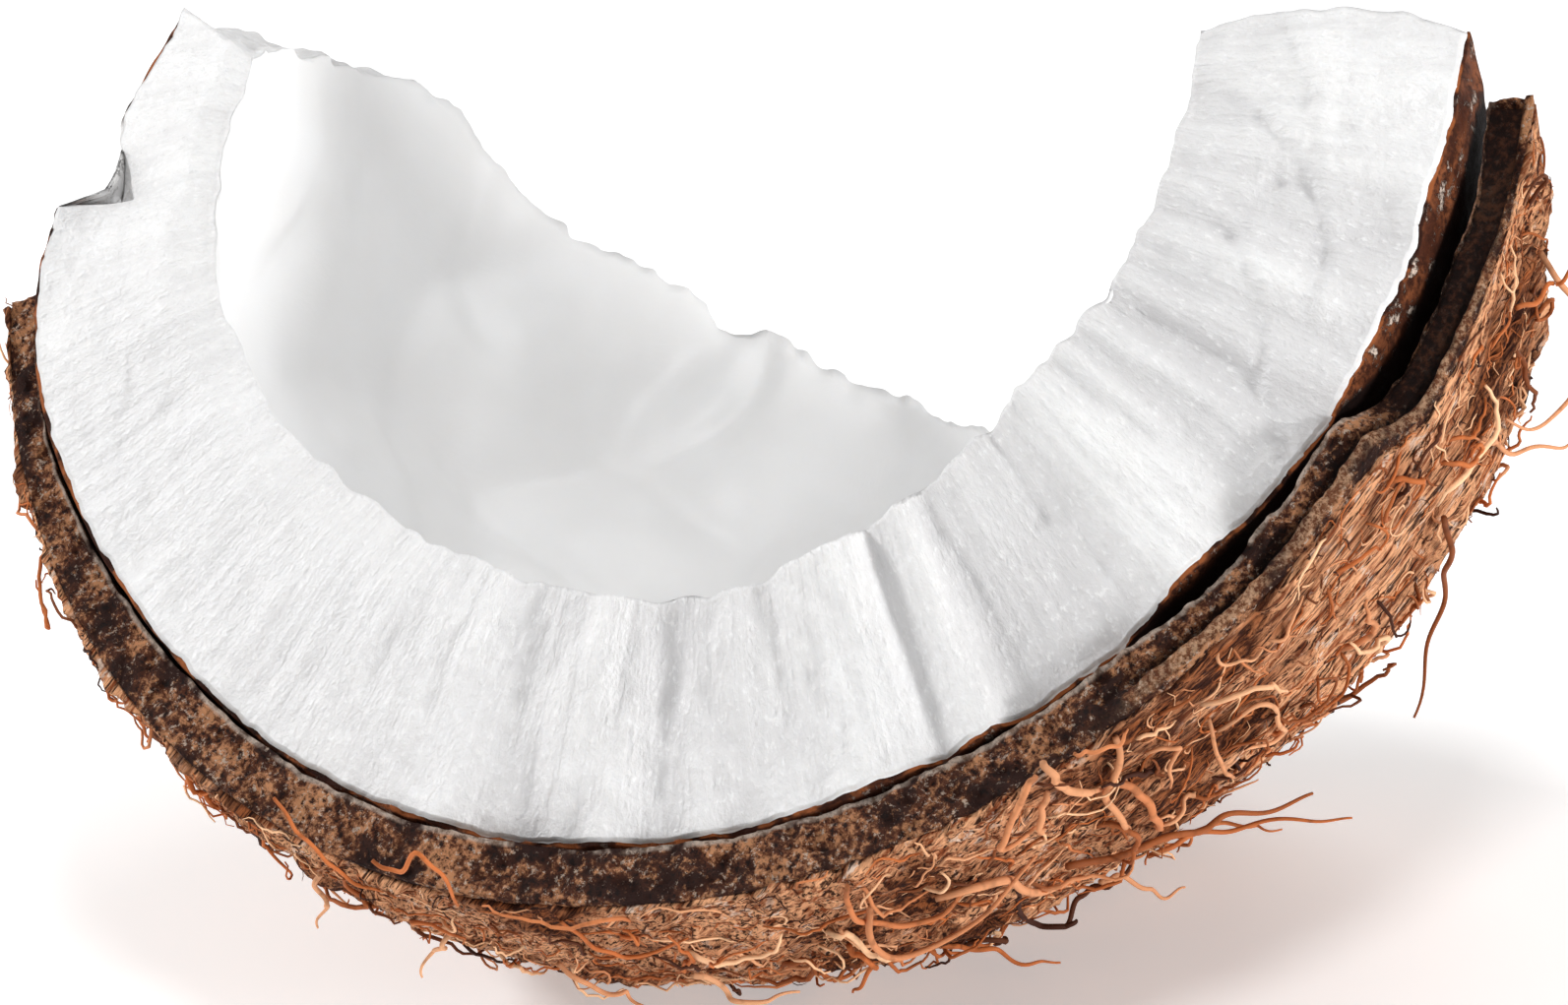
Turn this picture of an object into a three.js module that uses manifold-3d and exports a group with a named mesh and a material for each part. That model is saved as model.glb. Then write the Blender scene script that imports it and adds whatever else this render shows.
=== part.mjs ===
// A broken piece of a ripe coconut, about a quarter of the nut, as it lies on a table.
//
// The nut is first built about its own centre: X runs from pole to pole, Z is the way the front
// break faces, and Y lies across. Four layers grew one around the other: white meat, its thin brown
// skin, the hard shell, and what is left of the husk's fibres. Each layer is a slab between two
// surfaces around the centre, and ends at two breaks: the front one, nearly flat, and the back one,
// which wanders round the nut. At the end the piece is rolled over until its weight hangs lowest.
// Millimetres, +Z up, origin at the middle of the worn flat that it rests on.

import * as THREE from "three";
import Module from "manifold-3d";
import { ParametricGeometry } from "three/addons/geometries/ParametricGeometry.js";
import { mergeVertices } from "three/addons/utils/BufferGeometryUtils.js";

// The whole nut, outside of the shell.
const NUT_LENGTH = 109.6;
const NUT_WIDTH = 98;

// Layers, outside in. The mat is worn thin round the front edge, and is whole from there to a depth
// given as the downward part of the direction from the centre.
const MAT_THICKNESS = 1.2;
const MAT_AT_EDGE = 0.5;
const MAT_THICKENS_FROM = 0.05;
const MAT_WHOLE_AT = 0.4;
const SHELL_THICKNESS = 3.7;
const SKIN_THICKNESS = 0.6;
const MEAT_AT_POLE = 14.6;
const MEAT_AT_SIDE = 11.8;
const CLEARANCE = 0.3;

// The hollow sits off centre, so the meat is thicker on one side.
const HOLLOW_SHIFT = 3;

// Swellings and dents of the surfaces: the direction they lie in, how far out they stand, and how
// wide they are as an angle in radians. In the loose gap the shell stands off from its skin.
const LOOSE_GAPS = [{ at: new THREE.Vector3(-0.1, -1, 0), out: 0.5, spread: 0.5 }];
const MEAT_BUMPS = [
  { at: new THREE.Vector3(-0.8, 0.6, 0.06), out: 1.8, spread: 0.3 },
  { at: new THREE.Vector3(-0.33, 0.94, 0.03), out: -2.2, spread: 0.24 },
  { at: new THREE.Vector3(0.6, -0.8, 0), out: 0.5, spread: 0.3 },
];
const HOLLOW_BUMPS = [
  { at: new THREE.Vector3(-0.76, -0.62, 0.15), out: 2.4, spread: 0.45 },
  { at: new THREE.Vector3(-0.8, 0.57, 0.2), out: 1.2, spread: 0.4 },
];
const SHELL_BUMPS = [{ at: new THREE.Vector3(0.6, -0.8, 0), out: -0.9, spread: 0.4 }];

// The front break: its height above the centre at the shell, and how far the inner edge stands up.
const FRONT_HEIGHT = 3.8;
const FRONT_RISE = 3.8;
const EDGE_STEP = 0.25;

// Ends of the front break, as degrees around Z.
const HOLLOW_START = 115;
const HOLLOW_END = -48.5;
const MEAT_START = 109.5;
const MEAT_END = -50.5;
const SHELL_START = 136;
const SHELL_END = -54.5;
const MAT_INSET = 1;

// The meat stands proud near its start, and its very tip has chipped lower.
const PROUD = 1.6;
const PROUD_UNTIL = 165;
const CHIP_AT = 129;
const CHIP_BLEND = 1;
const CHIP_DROP = 4.2;

// The shell's front edge is broken back near its end.
const SHELL_RECESS = 3.4;
const RECESS_FROM = -86;
const RECESS_FULL = -80;

// The back break, as turns around X with the lean of the break towards the pole, in degrees.
const BACK_BREAK = [
  [-8, -18],
  [-26, -12.5],
  [-46, -14.4],
  [-66, -11.6],
  [-90, -7.5],
  [-112, -5],
  [-132, 3],
  [-152, 17],
  [-170, 31],
];
const SHELL_BACK_BREAK = [
  [-14, -43],
  [-32, -34],
  [-52, -20],
  [-70, -11.6],
  [-90, -7.5],
  [-112, -5],
  [-132, 3],
  [-152, 17],
  [-168, 28],
];

// The worn flat that the piece rests on, and the least mat that may be left under it.
const REST_RADIUS = 9.5;
const MAT_UNDER_FLAT = 0.05;

// Loose strands of coir: thickness, and a route over the mat. Each stop is a turn around X, a lean
// towards the pole, both in degrees, and a height over the mat.
const STRAND_SIDES = 3;
const STRANDS = [
  { thick: 1.0, stops: [[-168, -31, 0], [-161, -23, 0.5], [-157, -18, 1.4], [-153, -13, 3]] },
  { thick: 0.7, stops: [[-155, -25, 0], [-153, -20, 0.8], [-153, -16, 3], [-153, -12, 6]] },
  { thick: 0.6, stops: [[-151, -22, 0], [-149, -18, 1.5], [-149, -15, 4]] },
  { thick: 0.8, stops: [[-169, 6, 0], [-163, 5, 0.4], [-156, 3.5, 1], [-154, 0, 2.2], [-153, -4, 4]] },
  { thick: 0.7, stops: [[-175, 21, 0], [-172, 24, 1.4], [-174, 27, 3.2]] },
  { thick: 0.8, stops: [[-173, 26, 0], [-168, 24, 2], [-163, 21, 2.8], [-163, 17, 1.8], [-167, 15, 0.2]] },
  { thick: 0.7, stops: [[-171, 12, 0], [-163, 14, 1.2], [-158, 17, 3.5]] },
  { thick: 0.7, stops: [[-157, -29, 0], [-152, -26, 1.5], [-149, -23, 3.5]] },
  { thick: 0.9, stops: [[-178, -44, 0], [-172, -45, 1.2], [-168, -42, 1.6], [-170, -37, 1], [-174, -33, 0]] },
  { thick: 0.8, stops: [[-168, -47, 0], [-163, -46, 1], [-157, -47, 1.6]] },
  { thick: 0.7, stops: [[176, -83, 0], [-150, -83, 1], [-125, -81, 2.6]] },
  { thick: 0.7, stops: [[-168, -74, 0], [-158, -75, 1], [-147, -75, 2.4]] },
  { thick: 0.7, stops: [[-162, -67, 0], [-157, -63, 1.2], [-155, -60, 1.8]] },
  { thick: 0.8, stops: [[-162, -58, 0], [-158, -55, 1], [-157, -51, 1.4]] },
  { thick: 0.7, stops: [[-158, -41, 0], [-154, -37, 1.6], [-152, -33, 3.2]] },
];

// Densities in kg/m3, for finding where the weight hangs.
const DENSITY = { meat: 1030, skin: 1000, shell: 1250, mat: 350 };

// Mesh fineness: steps along the ring, from break to break, and across the wall.
const RING_STEPS = 44;
const SPAN_STEPS = 13;
const WALL_STEPS = 3;
const THIN_WALL_STEPS = 1;
const STRAND_STEPS = 3;

// How the solvers work.
const MERGE_WITHIN = 1e-4;
const SAME_DIRECTION = 1e-6;
const HEIGHT_PASSES = 8;
const ROLL_PASSES = 400;
const ROLL_STEP = 0.01;

const wasm = await Module();
wasm.setup();

const rad = THREE.MathUtils.degToRad;

function smooth(value, from, to) {
  const t = THREE.MathUtils.clamp((value - from) / (to - from), 0, 1);
  return t * t * (3 - 2 * t);
}

// Distance from the centre to an ellipsoid whose middle is shifted along Y.
function ellipsoid(semiPole, semiSide, shift) {
  return (d) => {
    const a = (d.x / semiPole) ** 2 + (d.y / semiSide) ** 2 + (d.z / semiSide) ** 2;
    const b = (d.y * shift) / semiSide ** 2;
    const c = (shift / semiSide) ** 2 - 1;
    return (b + Math.sqrt(b * b - a * c)) / a;
  };
}

// Height of a set of bumps along a direction.
function bumps(list, direction) {
  return list.reduce((sum, { at, out, spread }) => {
    const off = direction.angleTo(at) / spread;
    return sum + out * Math.exp(-off * off);
  }, 0);
}

// Where it is whole, the mat is thicker than the flat is deep.
const flatAtMost = NUT_WIDTH / 2 - Math.sqrt((NUT_WIDTH / 2) ** 2 - REST_RADIUS ** 2);
const wholeMat = Math.max(MAT_THICKNESS, flatAtMost + MAT_UNDER_FLAT);

function matThickness(direction) {
  return MAT_AT_EDGE + (wholeMat - MAT_AT_EDGE) * smooth(-direction.z, MAT_THICKENS_FROM, MAT_WHOLE_AT);
}

// The surfaces, outside in. Each gives the distance from the centre along a direction.
const nut = ellipsoid(NUT_LENGTH / 2, NUT_WIDTH / 2, 0);
const shellOuter = (d) => nut(d) + bumps(SHELL_BUMPS, d);
const matInner = (d) => shellOuter(d) + CLEARANCE;
const matOuter = (d) => matInner(d) + matThickness(d);
const shellInner = (d) => shellOuter(d) - SHELL_THICKNESS + bumps(MEAT_BUMPS, d);
const skinOuter = (d) => shellInner(d) - CLEARANCE - bumps(LOOSE_GAPS, d);
const skinInner = (d) => skinOuter(d) - SKIN_THICKNESS;
const meatOuter = (d) => skinInner(d) - CLEARANCE;
const inset = SHELL_THICKNESS + SKIN_THICKNESS + 2 * CLEARANCE;
const roundHollow = ellipsoid(
  NUT_LENGTH / 2 - inset - MEAT_AT_POLE,
  NUT_WIDTH / 2 - inset - MEAT_AT_SIDE,
  HOLLOW_SHIFT,
);
const hollow = (d) => roundHollow(d) + bumps(HOLLOW_BUMPS, d);

// Unwrapped angle around Z for a share of the way along the ring.
function alongRing(start, end, share) {
  return start + (end + 360 - start) * share;
}

// Height of the meat's and the skin's front edge, by unwrapped angle.
function meatHeight(angle) {
  const proud = PROUD * (1 - smooth(angle, SHELL_START, PROUD_UNTIL));
  const chip = CHIP_DROP * (1 - smooth(angle, CHIP_AT - CHIP_BLEND, CHIP_AT + CHIP_BLEND));
  return FRONT_HEIGHT + proud - chip;
}

// Height of the shell's front edge.
function shellHeight(angle) {
  return FRONT_HEIGHT - SHELL_RECESS * smooth(angle - 360, RECESS_FROM, RECESS_FULL);
}

// Direction from the centre to the point of a surface at a height, at an angle around Z.
function frontDirection(surface, angle, height) {
  const direction = new THREE.Vector3(Math.cos(rad(angle)), Math.sin(rad(angle)), 0);
  const flat = direction.clone();
  for (let pass = 0; pass < HEIGHT_PASSES; pass += 1) {
    const radius = surface(direction);
    const reach = Math.sqrt(radius * radius - height * height);
    direction.copy(flat).multiplyScalar(reach);
    direction.z = height;
    direction.normalize();
  }
  return direction;
}

function leanDirection(turn, lean) {
  const around = Math.cos(rad(lean));
  return new THREE.Vector3(Math.sin(rad(lean)), around * Math.cos(rad(turn)), around * Math.sin(rad(turn)));
}

// The back break of one surface, as a smooth line of directions between its two tips.
function backLine(stops, first, last) {
  const points = [first, ...stops.map(([turn, lean]) => leanDirection(turn, lean)), last];
  return new THREE.CatmullRomCurve3(points, false, "centripetal");
}

// One layer as a closed slab. Each step along the ring is a closed loop: across the front break,
// over the outside to the back break, across that, and back over the inside.
function layer({ inside, outside, start, end, frontHeight, rise, stops, wallSteps }) {
  const surfaces = [inside, outside];
  const heights = (angle) => [frontHeight(angle) + rise, frontHeight(angle)];
  const front = (side, share) => {
    const angle = alongRing(start[side], end[side], share);
    return frontDirection(surfaces[side], angle, heights(angle)[side]);
  };
  const lines = [0, 1].map((side) => backLine(stops, front(side, 0), front(side, 1)));
  const skin = (side, share, span) => {
    const from = front(side, share);
    const to = lines[side].getPoint(share).normalize();
    const angle = from.angleTo(to);
    if (angle > SAME_DIRECTION) {
      const a = Math.sin((1 - span) * angle);
      const b = Math.sin(span * angle);
      from.multiplyScalar(a).addScaledVector(to, b).normalize();
    }
    return from.multiplyScalar(surfaces[side](from));
  };
  const wall = (share, depth, span) => skin(0, share, span).lerp(skin(1, share, span), depth);
  const loopSteps = 2 * (wallSteps + SPAN_STEPS);
  const surface = (share, loop, target) => {
    let step = ((1 - loop) % 1) * loopSteps;
    if (step <= wallSteps) {
      target.copy(wall(share, step / wallSteps, 0));
      return;
    }
    step -= wallSteps;
    if (step <= SPAN_STEPS) {
      target.copy(skin(1, share, step / SPAN_STEPS));
      return;
    }
    step -= SPAN_STEPS;
    if (step <= wallSteps) {
      target.copy(wall(share, 1 - step / wallSteps, 1));
      return;
    }
    step -= wallSteps;
    target.copy(skin(0, share, 1 - step / SPAN_STEPS));
  };
  return closed(new ParametricGeometry(surface, RING_STEPS, loopSteps));
}

// Merges the seams and drops the triangles that have shrunk to a line.
function closed(geometry) {
  geometry.deleteAttribute("normal");
  geometry.deleteAttribute("uv");
  const merged = mergeVertices(geometry, MERGE_WITHIN);
  const index = Array.from(merged.index.array);
  const kept = [];
  for (let i = 0; i < index.length; i += 3) {
    const [a, b, c] = index.slice(i, i + 3);
    if (a !== b && b !== c && c !== a) {
      kept.push(a, b, c);
    }
  }
  merged.setIndex(kept);
  return merged;
}

function toSolid(geometry) {
  return new wasm.Manifold(new wasm.Mesh({
    numProp: 3,
    vertProperties: new Float32Array(geometry.attributes.position.array),
    triVerts: new Uint32Array(geometry.index.array),
  }));
}

function toGeometry(solid) {
  const mesh = solid.getMesh();
  const geometry = new THREE.BufferGeometry();
  geometry.setAttribute("position", new THREE.BufferAttribute(new Float32Array(mesh.vertProperties), 3));
  geometry.setIndex(Array.from(mesh.triVerts));
  geometry.computeVertexNormals();
  return geometry;
}

// Volume and first moment of a closed geometry.
function weigh(geometry) {
  const p = geometry.attributes.position;
  const index = geometry.index;
  const corners = [new THREE.Vector3(), new THREE.Vector3(), new THREE.Vector3()];
  const moment = new THREE.Vector3();
  let volume = 0;
  for (let i = 0; i < index.count; i += 3) {
    corners.forEach((corner, k) => corner.fromBufferAttribute(p, index.getX(i + k)));
    const [a, b, c] = corners;
    const part = a.dot(new THREE.Vector3().crossVectors(b, c)) / 6;
    volume += part;
    moment.addScaledVector(a, part / 4).addScaledVector(b, part / 4).addScaledVector(c, part / 4);
  }
  return { volume, moment };
}

const skinHeight = (angle) => meatHeight(angle) - EDGE_STEP;
const matHeight = (angle) => shellHeight(angle) - EDGE_STEP;

const layers = {
  meat: layer({
    inside: hollow,
    outside: meatOuter,
    start: [HOLLOW_START, MEAT_START],
    end: [HOLLOW_END, MEAT_END],
    frontHeight: meatHeight,
    rise: FRONT_RISE,
    stops: BACK_BREAK,
    wallSteps: WALL_STEPS,
  }),
  skin: layer({
    inside: skinInner,
    outside: skinOuter,
    start: [MEAT_START, MEAT_START],
    end: [MEAT_END, MEAT_END],
    frontHeight: skinHeight,
    rise: 0,
    stops: BACK_BREAK,
    wallSteps: THIN_WALL_STEPS,
  }),
  shell: layer({
    inside: shellInner,
    outside: shellOuter,
    start: [SHELL_START, SHELL_START],
    end: [SHELL_END, SHELL_END],
    frontHeight: shellHeight,
    rise: 0,
    stops: SHELL_BACK_BREAK,
    wallSteps: THIN_WALL_STEPS,
  }),
  mat: layer({
    inside: matInner,
    outside: matOuter,
    start: [SHELL_START + MAT_INSET, SHELL_START + MAT_INSET],
    end: [SHELL_END - MAT_INSET, SHELL_END - MAT_INSET],
    frontHeight: matHeight,
    rise: 0,
    stops: SHELL_BACK_BREAK,
    wallSteps: THIN_WALL_STEPS,
  }),
};

// Centre of mass of the four layers together.
function centreOfMass() {
  const sum = new THREE.Vector3();
  let mass = 0;
  for (const [name, geometry] of Object.entries(layers)) {
    const { volume, moment } = weigh(geometry);
    sum.addScaledVector(moment, DENSITY[name]);
    mass += volume * DENSITY[name];
  }
  return sum.divideScalar(mass);
}

// The way up in which the centre of mass lies lowest over the table, found by rolling downhill.
function restingUp(centre) {
  const semi = new THREE.Vector3(NUT_LENGTH / 2, NUT_WIDTH / 2, NUT_WIDTH / 2);
  semi.addScalar(CLEARANCE + wholeMat);
  const up = centre.clone().negate().normalize();
  let reach = 0;
  for (let pass = 0; pass < ROLL_PASSES; pass += 1) {
    const scaled = up.clone().multiply(semi).multiply(semi);
    reach = Math.sqrt(up.dot(scaled));
    const slope = scaled.divideScalar(reach).add(centre);
    slope.addScaledVector(up, -slope.dot(up));
    up.addScaledVector(slope, -ROLL_STEP).normalize();
  }
  const touch = up.clone().multiply(semi).multiply(semi).divideScalar(-reach);
  return { up, reach, touch };
}

const centre = centreOfMass();
const rest = restingUp(centre);

// Stand the piece up, with its front break towards -Y, and its resting point on the origin.
const toward = new THREE.Vector3(0, 0, -1).addScaledVector(rest.up, rest.up.z).normalize();
const across = new THREE.Vector3().crossVectors(toward, rest.up);
const place = new THREE.Matrix4().makeBasis(across, toward, rest.up).transpose();
const flatDepth = rest.reach - Math.sqrt(rest.reach ** 2 - REST_RADIUS ** 2);
const touching = rest.touch.clone().applyMatrix4(place);
place.premultiply(new THREE.Matrix4().makeTranslation(-touching.x, -touching.y, -touching.z - flatDepth));

for (const geometry of Object.values(layers)) {
  geometry.applyMatrix4(place);
}

// The flat is worn into the mat alone.
const table = new THREE.BoxGeometry(NUT_LENGTH, NUT_LENGTH, 2 * wholeMat);
table.translate(0, 0, -wholeMat);
const worn = toSolid(layers.mat).subtract(toSolid(closed(table)));
layers.mat = toGeometry(worn);

const materials = {
  meat: new THREE.MeshStandardMaterial({ color: 0xf4f4f2, roughness: 0.45, metalness: 0 }),
  skin: new THREE.MeshStandardMaterial({ color: 0x8a4420, roughness: 0.7, metalness: 0 }),
  shell: new THREE.MeshStandardMaterial({ color: 0x35190e, roughness: 0.8, metalness: 0 }),
  mat: new THREE.MeshStandardMaterial({ color: 0x9c5d34, roughness: 0.95, metalness: 0 }),
};

const nodeNames = { meat: "coconut_meat", skin: "brown_skin", shell: "hard_shell", mat: "husk_fibre_mat" };

function named(name, geometry, material) {
  geometry.computeVertexNormals();
  const mesh = new THREE.Mesh(geometry, material);
  mesh.name = name;
  return mesh;
}

// A strand is a round tube along its route, which starts just clear of the mat.
function strand({ thick, stops }, index) {
  const points = stops.map(([turn, lean, height]) => {
    const direction = leanDirection(turn, lean);
    const radius = matOuter(direction) + CLEARANCE + thick / 2 + height;
    return direction.multiplyScalar(radius);
  });
  const route = new THREE.CatmullRomCurve3(points);
  const section = new THREE.Shape();
  section.absarc(0, 0, thick / 2, 0, 2 * Math.PI, false);
  const geometry = new THREE.ExtrudeGeometry(section, {
    steps: STRAND_STEPS * stops.length,
    curveSegments: STRAND_SIDES,
    extrudePath: route,
    bevelEnabled: false,
  });
  return named(`fibre_strand_${index + 1}`, geometry.applyMatrix4(place), materials.mat);
}

const coconut = new THREE.Group();
for (const [key, geometry] of Object.entries(layers)) {
  coconut.add(named(nodeNames[key], geometry, materials[key]));
}
for (const piece of STRANDS.map(strand)) {
  coconut.add(piece);
}

export default coconut;
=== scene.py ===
# %% [markdown]
# # A broken piece of coconut
#
# The piece is about a quarter of a ripe nut. Four layers grew one around the other: the white meat,
# its thin brown skin, the hard shell and what is left of the husk's fibres. A fixed model of the
# piece already gives every layer its place, so this lesson first loads it, and then grows a finer
# surface for each layer in the same space. The same few formulas make both, which is why they fit.

import itertools
import math

import bmesh
import bpy
import numpy as np
from mathutils import Matrix, Vector
from mathutils.kdtree import KDTree


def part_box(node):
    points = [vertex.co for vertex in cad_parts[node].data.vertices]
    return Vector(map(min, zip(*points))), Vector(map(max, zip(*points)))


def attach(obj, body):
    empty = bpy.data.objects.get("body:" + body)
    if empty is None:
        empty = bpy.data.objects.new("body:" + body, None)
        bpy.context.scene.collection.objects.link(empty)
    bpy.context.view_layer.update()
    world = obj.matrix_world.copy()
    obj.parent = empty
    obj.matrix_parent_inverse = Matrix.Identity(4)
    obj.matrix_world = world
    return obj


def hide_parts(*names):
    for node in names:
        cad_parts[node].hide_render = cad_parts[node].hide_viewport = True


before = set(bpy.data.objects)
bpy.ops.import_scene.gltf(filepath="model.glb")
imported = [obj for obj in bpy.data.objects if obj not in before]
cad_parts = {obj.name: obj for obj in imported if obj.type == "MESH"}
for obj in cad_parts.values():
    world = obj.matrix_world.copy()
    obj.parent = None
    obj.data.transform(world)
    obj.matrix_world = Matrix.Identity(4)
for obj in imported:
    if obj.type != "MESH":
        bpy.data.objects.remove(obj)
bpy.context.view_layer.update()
MM = 0.001

# %% [markdown]
# ## Sizes
#
# The nut is described about its own centre. X runs from pole to pole, Z is the way the front break
# faces, and Y lies across. All sizes are in millimetres. They are those of the fixed model, so a
# layer made here lies exactly where the fixed model has it.

# %% Sizes of the nut and its layers
NUT_LENGTH = 109.6
NUT_WIDTH = 98
MAT_THICKNESS = 1.2
MAT_AT_EDGE = 0.5
MAT_THICKENS_FROM = 0.05
MAT_WHOLE_AT = 0.4
SHELL_THICKNESS = 3.7
SKIN_THICKNESS = 0.6
MEAT_AT_POLE = 14.6
MEAT_AT_SIDE = 11.8
CLEARANCE = 0.3
HOLLOW_SHIFT = 3

# Swellings and dents: the direction they lie in, how far out they stand, and their spread.
LOOSE_GAPS = [((-0.1, -1, 0), 0.5, 0.5)]
MEAT_BUMPS = [
    ((-0.8, 0.6, 0.06), 1.8, 0.3),
    ((-0.33, 0.94, 0.03), -2.2, 0.24),
    ((0.6, -0.8, 0), 0.5, 0.3),
]
HOLLOW_BUMPS = [((-0.76, -0.62, 0.15), 2.4, 0.45), ((-0.8, 0.57, 0.2), 1.2, 0.4)]
SHELL_BUMPS = [((0.6, -0.8, 0), -0.9, 0.4)]

# The front break, and the ends of its ring as degrees around Z.
FRONT_HEIGHT = 3.8
FRONT_RISE = 3.8
EDGE_STEP = 0.25
HOLLOW_START, HOLLOW_END = 115, -48.5
MEAT_START, MEAT_END = 109.5, -50.5
SHELL_START, SHELL_END = 136, -54.5
MAT_INSET = 1
PROUD, PROUD_UNTIL = 1.6, 165
CHIP_AT, CHIP_BLEND, CHIP_DROP = 129, 1, 4.2
INNER_CHIP_BLEND = 15
SHELL_RECESS, RECESS_FROM, RECESS_FULL = 3.4, -86, -80

# The back break, as turns around X with the lean of the break towards the pole, in degrees.
BACK_BREAK = [
    (-8, -18), (-26, -12.5), (-46, -14.4), (-66, -11.6), (-90, -7.5),
    (-112, -5), (-132, 3), (-152, 17), (-170, 31),
]
SHELL_BACK_BREAK = [
    (-14, -43), (-32, -34), (-52, -20), (-70, -11.6), (-90, -7.5),
    (-112, -5), (-132, 3), (-152, 17), (-168, 28),
]

# The way up at which the piece comes to rest, as a direction in the nut, and its worn flat.
REST_UP = Vector((0.62635, 0.36579, 0.68839)).normalized()
REST_RADIUS = 9.5

# %% [markdown]
# ## From the nut to the table
#
# Everything below is modelled in the nut's own frame, where the formulas are simple, and moved onto
# the table as one block at the end. The matrix is worked out from the way up and from the flat that
# the piece rests on, as a carpenter would set a template, so no placed number has to be copied.

# %% The matrix that lays the piece on the table
def table_matrix():
    semi = Vector((NUT_LENGTH, NUT_WIDTH, NUT_WIDTH)) / 2 + Vector((CLEARANCE + MAT_THICKNESS,) * 3)
    spread = Vector(s * s * u for s, u in zip(semi, REST_UP))
    reach = math.sqrt(REST_UP.dot(spread))
    toward = (REST_UP * REST_UP.z - Vector((0, 0, 1))).normalized()
    turn = Matrix((toward.cross(REST_UP), toward, REST_UP))
    touch = turn @ (spread / -reach)
    flat_depth = reach - math.sqrt(reach**2 - REST_RADIUS**2)
    shift = Matrix.Translation((-touch.x, -touch.y, -touch.z - flat_depth))
    return Matrix.Scale(MM, 4) @ shift @ turn.to_4x4()


TO_TABLE = table_matrix()
TO_TABLE_ROWS = np.array(TO_TABLE)
print("nut's centre above the table, in mm:", round(TO_TABLE.translation.z / MM, 2))

# %% [markdown]
# ## Camera, light and floor
#
# A coconut's meat is almost as bright as paper, so it only shows its relief in soft light that
# comes mostly from one side. The key lamp rakes the broken face from the left, one above the viewer
# reaches into the hollow, a low one brings out the fibres on the right, and a pale sky fills the
# rest. A long lens keeps the piece free of perspective.

# %% Camera
VIEW_AZIMUTH = 21.364
VIEW_ELEVATION = 21.262
VIEW_ROLL = 5.736
VIEW_TARGET = Vector((4.83, -3.71, 30.56)) * MM
VIEW_DISTANCE = 600 * MM
LENS = 214.7


def sight(azimuth, elevation):
    """Direction from an aim point towards a viewer or a lamp."""
    a, e = math.radians(azimuth), math.radians(elevation)
    return Vector((math.sin(a) * math.cos(e), -math.cos(a) * math.cos(e), math.sin(e)))


camera_data = bpy.data.cameras.new("camera")
camera_data.lens = LENS
camera_data.clip_start = 0.01
camera = bpy.data.objects.new("camera", camera_data)
bpy.context.scene.collection.objects.link(camera)
toward_camera = sight(VIEW_AZIMUTH, VIEW_ELEVATION)
upright = (-toward_camera).to_track_quat("-Z", "Y").to_matrix()
leaning = upright @ Matrix.Rotation(-math.radians(VIEW_ROLL), 3, "Z")
camera.matrix_world = Matrix.Translation(VIEW_TARGET + toward_camera * VIEW_DISTANCE) @ leaning.to_4x4()
bpy.context.scene.camera = camera
bpy.context.scene.view_settings.view_transform = "Standard"
print("camera at, in mm:", [round(v / MM) for v in camera.matrix_world.translation])

# %% Lamps and sky
SKY_STRENGTH = 0.25


def lamp(name, azimuth, elevation, distance, size, power):
    """A round lamp that shines at the piece; distance and size in metres, power in watts."""
    data = bpy.data.lights.new(name, "AREA")
    data.shape = "DISK"
    data.size = size
    data.energy = power
    made = bpy.data.objects.new(name, data)
    away = sight(azimuth, elevation)
    aimed = (-away).to_track_quat("-Z", "Y").to_matrix().to_4x4()
    made.matrix_world = Matrix.Translation(VIEW_TARGET + away * distance) @ aimed
    bpy.context.scene.collection.objects.link(made)


lamp("key_lamp", azimuth=-84, elevation=32, distance=0.9, size=0.16, power=5.0)
lamp("front_lamp", azimuth=30, elevation=62, distance=1.0, size=0.22, power=2.9)
lamp("side_lamp", azimuth=80, elevation=4, distance=1.1, size=0.2, power=7.0)
lamp("back_lamp", azimuth=150, elevation=62, distance=1.0, size=0.6, power=2.0)

sky = bpy.data.worlds.new("sky")
sky.use_nodes = True
sky.node_tree.nodes["Background"].inputs["Color"].default_value = (1, 1, 1, 1)
sky.node_tree.nodes["Background"].inputs["Strength"].default_value = SKY_STRENGTH
bpy.context.scene.world = sky

# %% [markdown]
# ## Shader maths as plain arithmetic
#
# A material is a net of small nodes. Written as calls it is hard to read, so a `Wire` stands for
# one output of a node, and adding or multiplying wires adds the Math node that does it. A `Finish`
# is one material: it makes any node from its type, its settings and what goes into its sockets.

# %% Wires and finishes
class Wire:
    """One output socket, with arithmetic."""

    def __init__(self, finish, socket):
        self.finish = finish
        self.socket = socket

    def _math(self, operation, *values):
        return self.finish.node("ShaderNodeMath", {"operation": operation}, dict(enumerate(values)))

    def __add__(self, other):
        return self._math("ADD", self, other)

    __radd__ = __add__

    def __sub__(self, other):
        return self._math("SUBTRACT", self, other)

    def __rsub__(self, other):
        return self._math("SUBTRACT", other, self)

    def __mul__(self, other):
        return self._math("MULTIPLY", self, other)

    __rmul__ = __mul__

    def ramp(self, low, high):
        """0 below low and 1 above high, with a soft way between."""
        settings = {"interpolation_type": "SMOOTHSTEP"}
        sockets = {"Value": self, "From Min": low, "From Max": high}
        return self.finish.node("ShaderNodeMapRange", settings, sockets)


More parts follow.
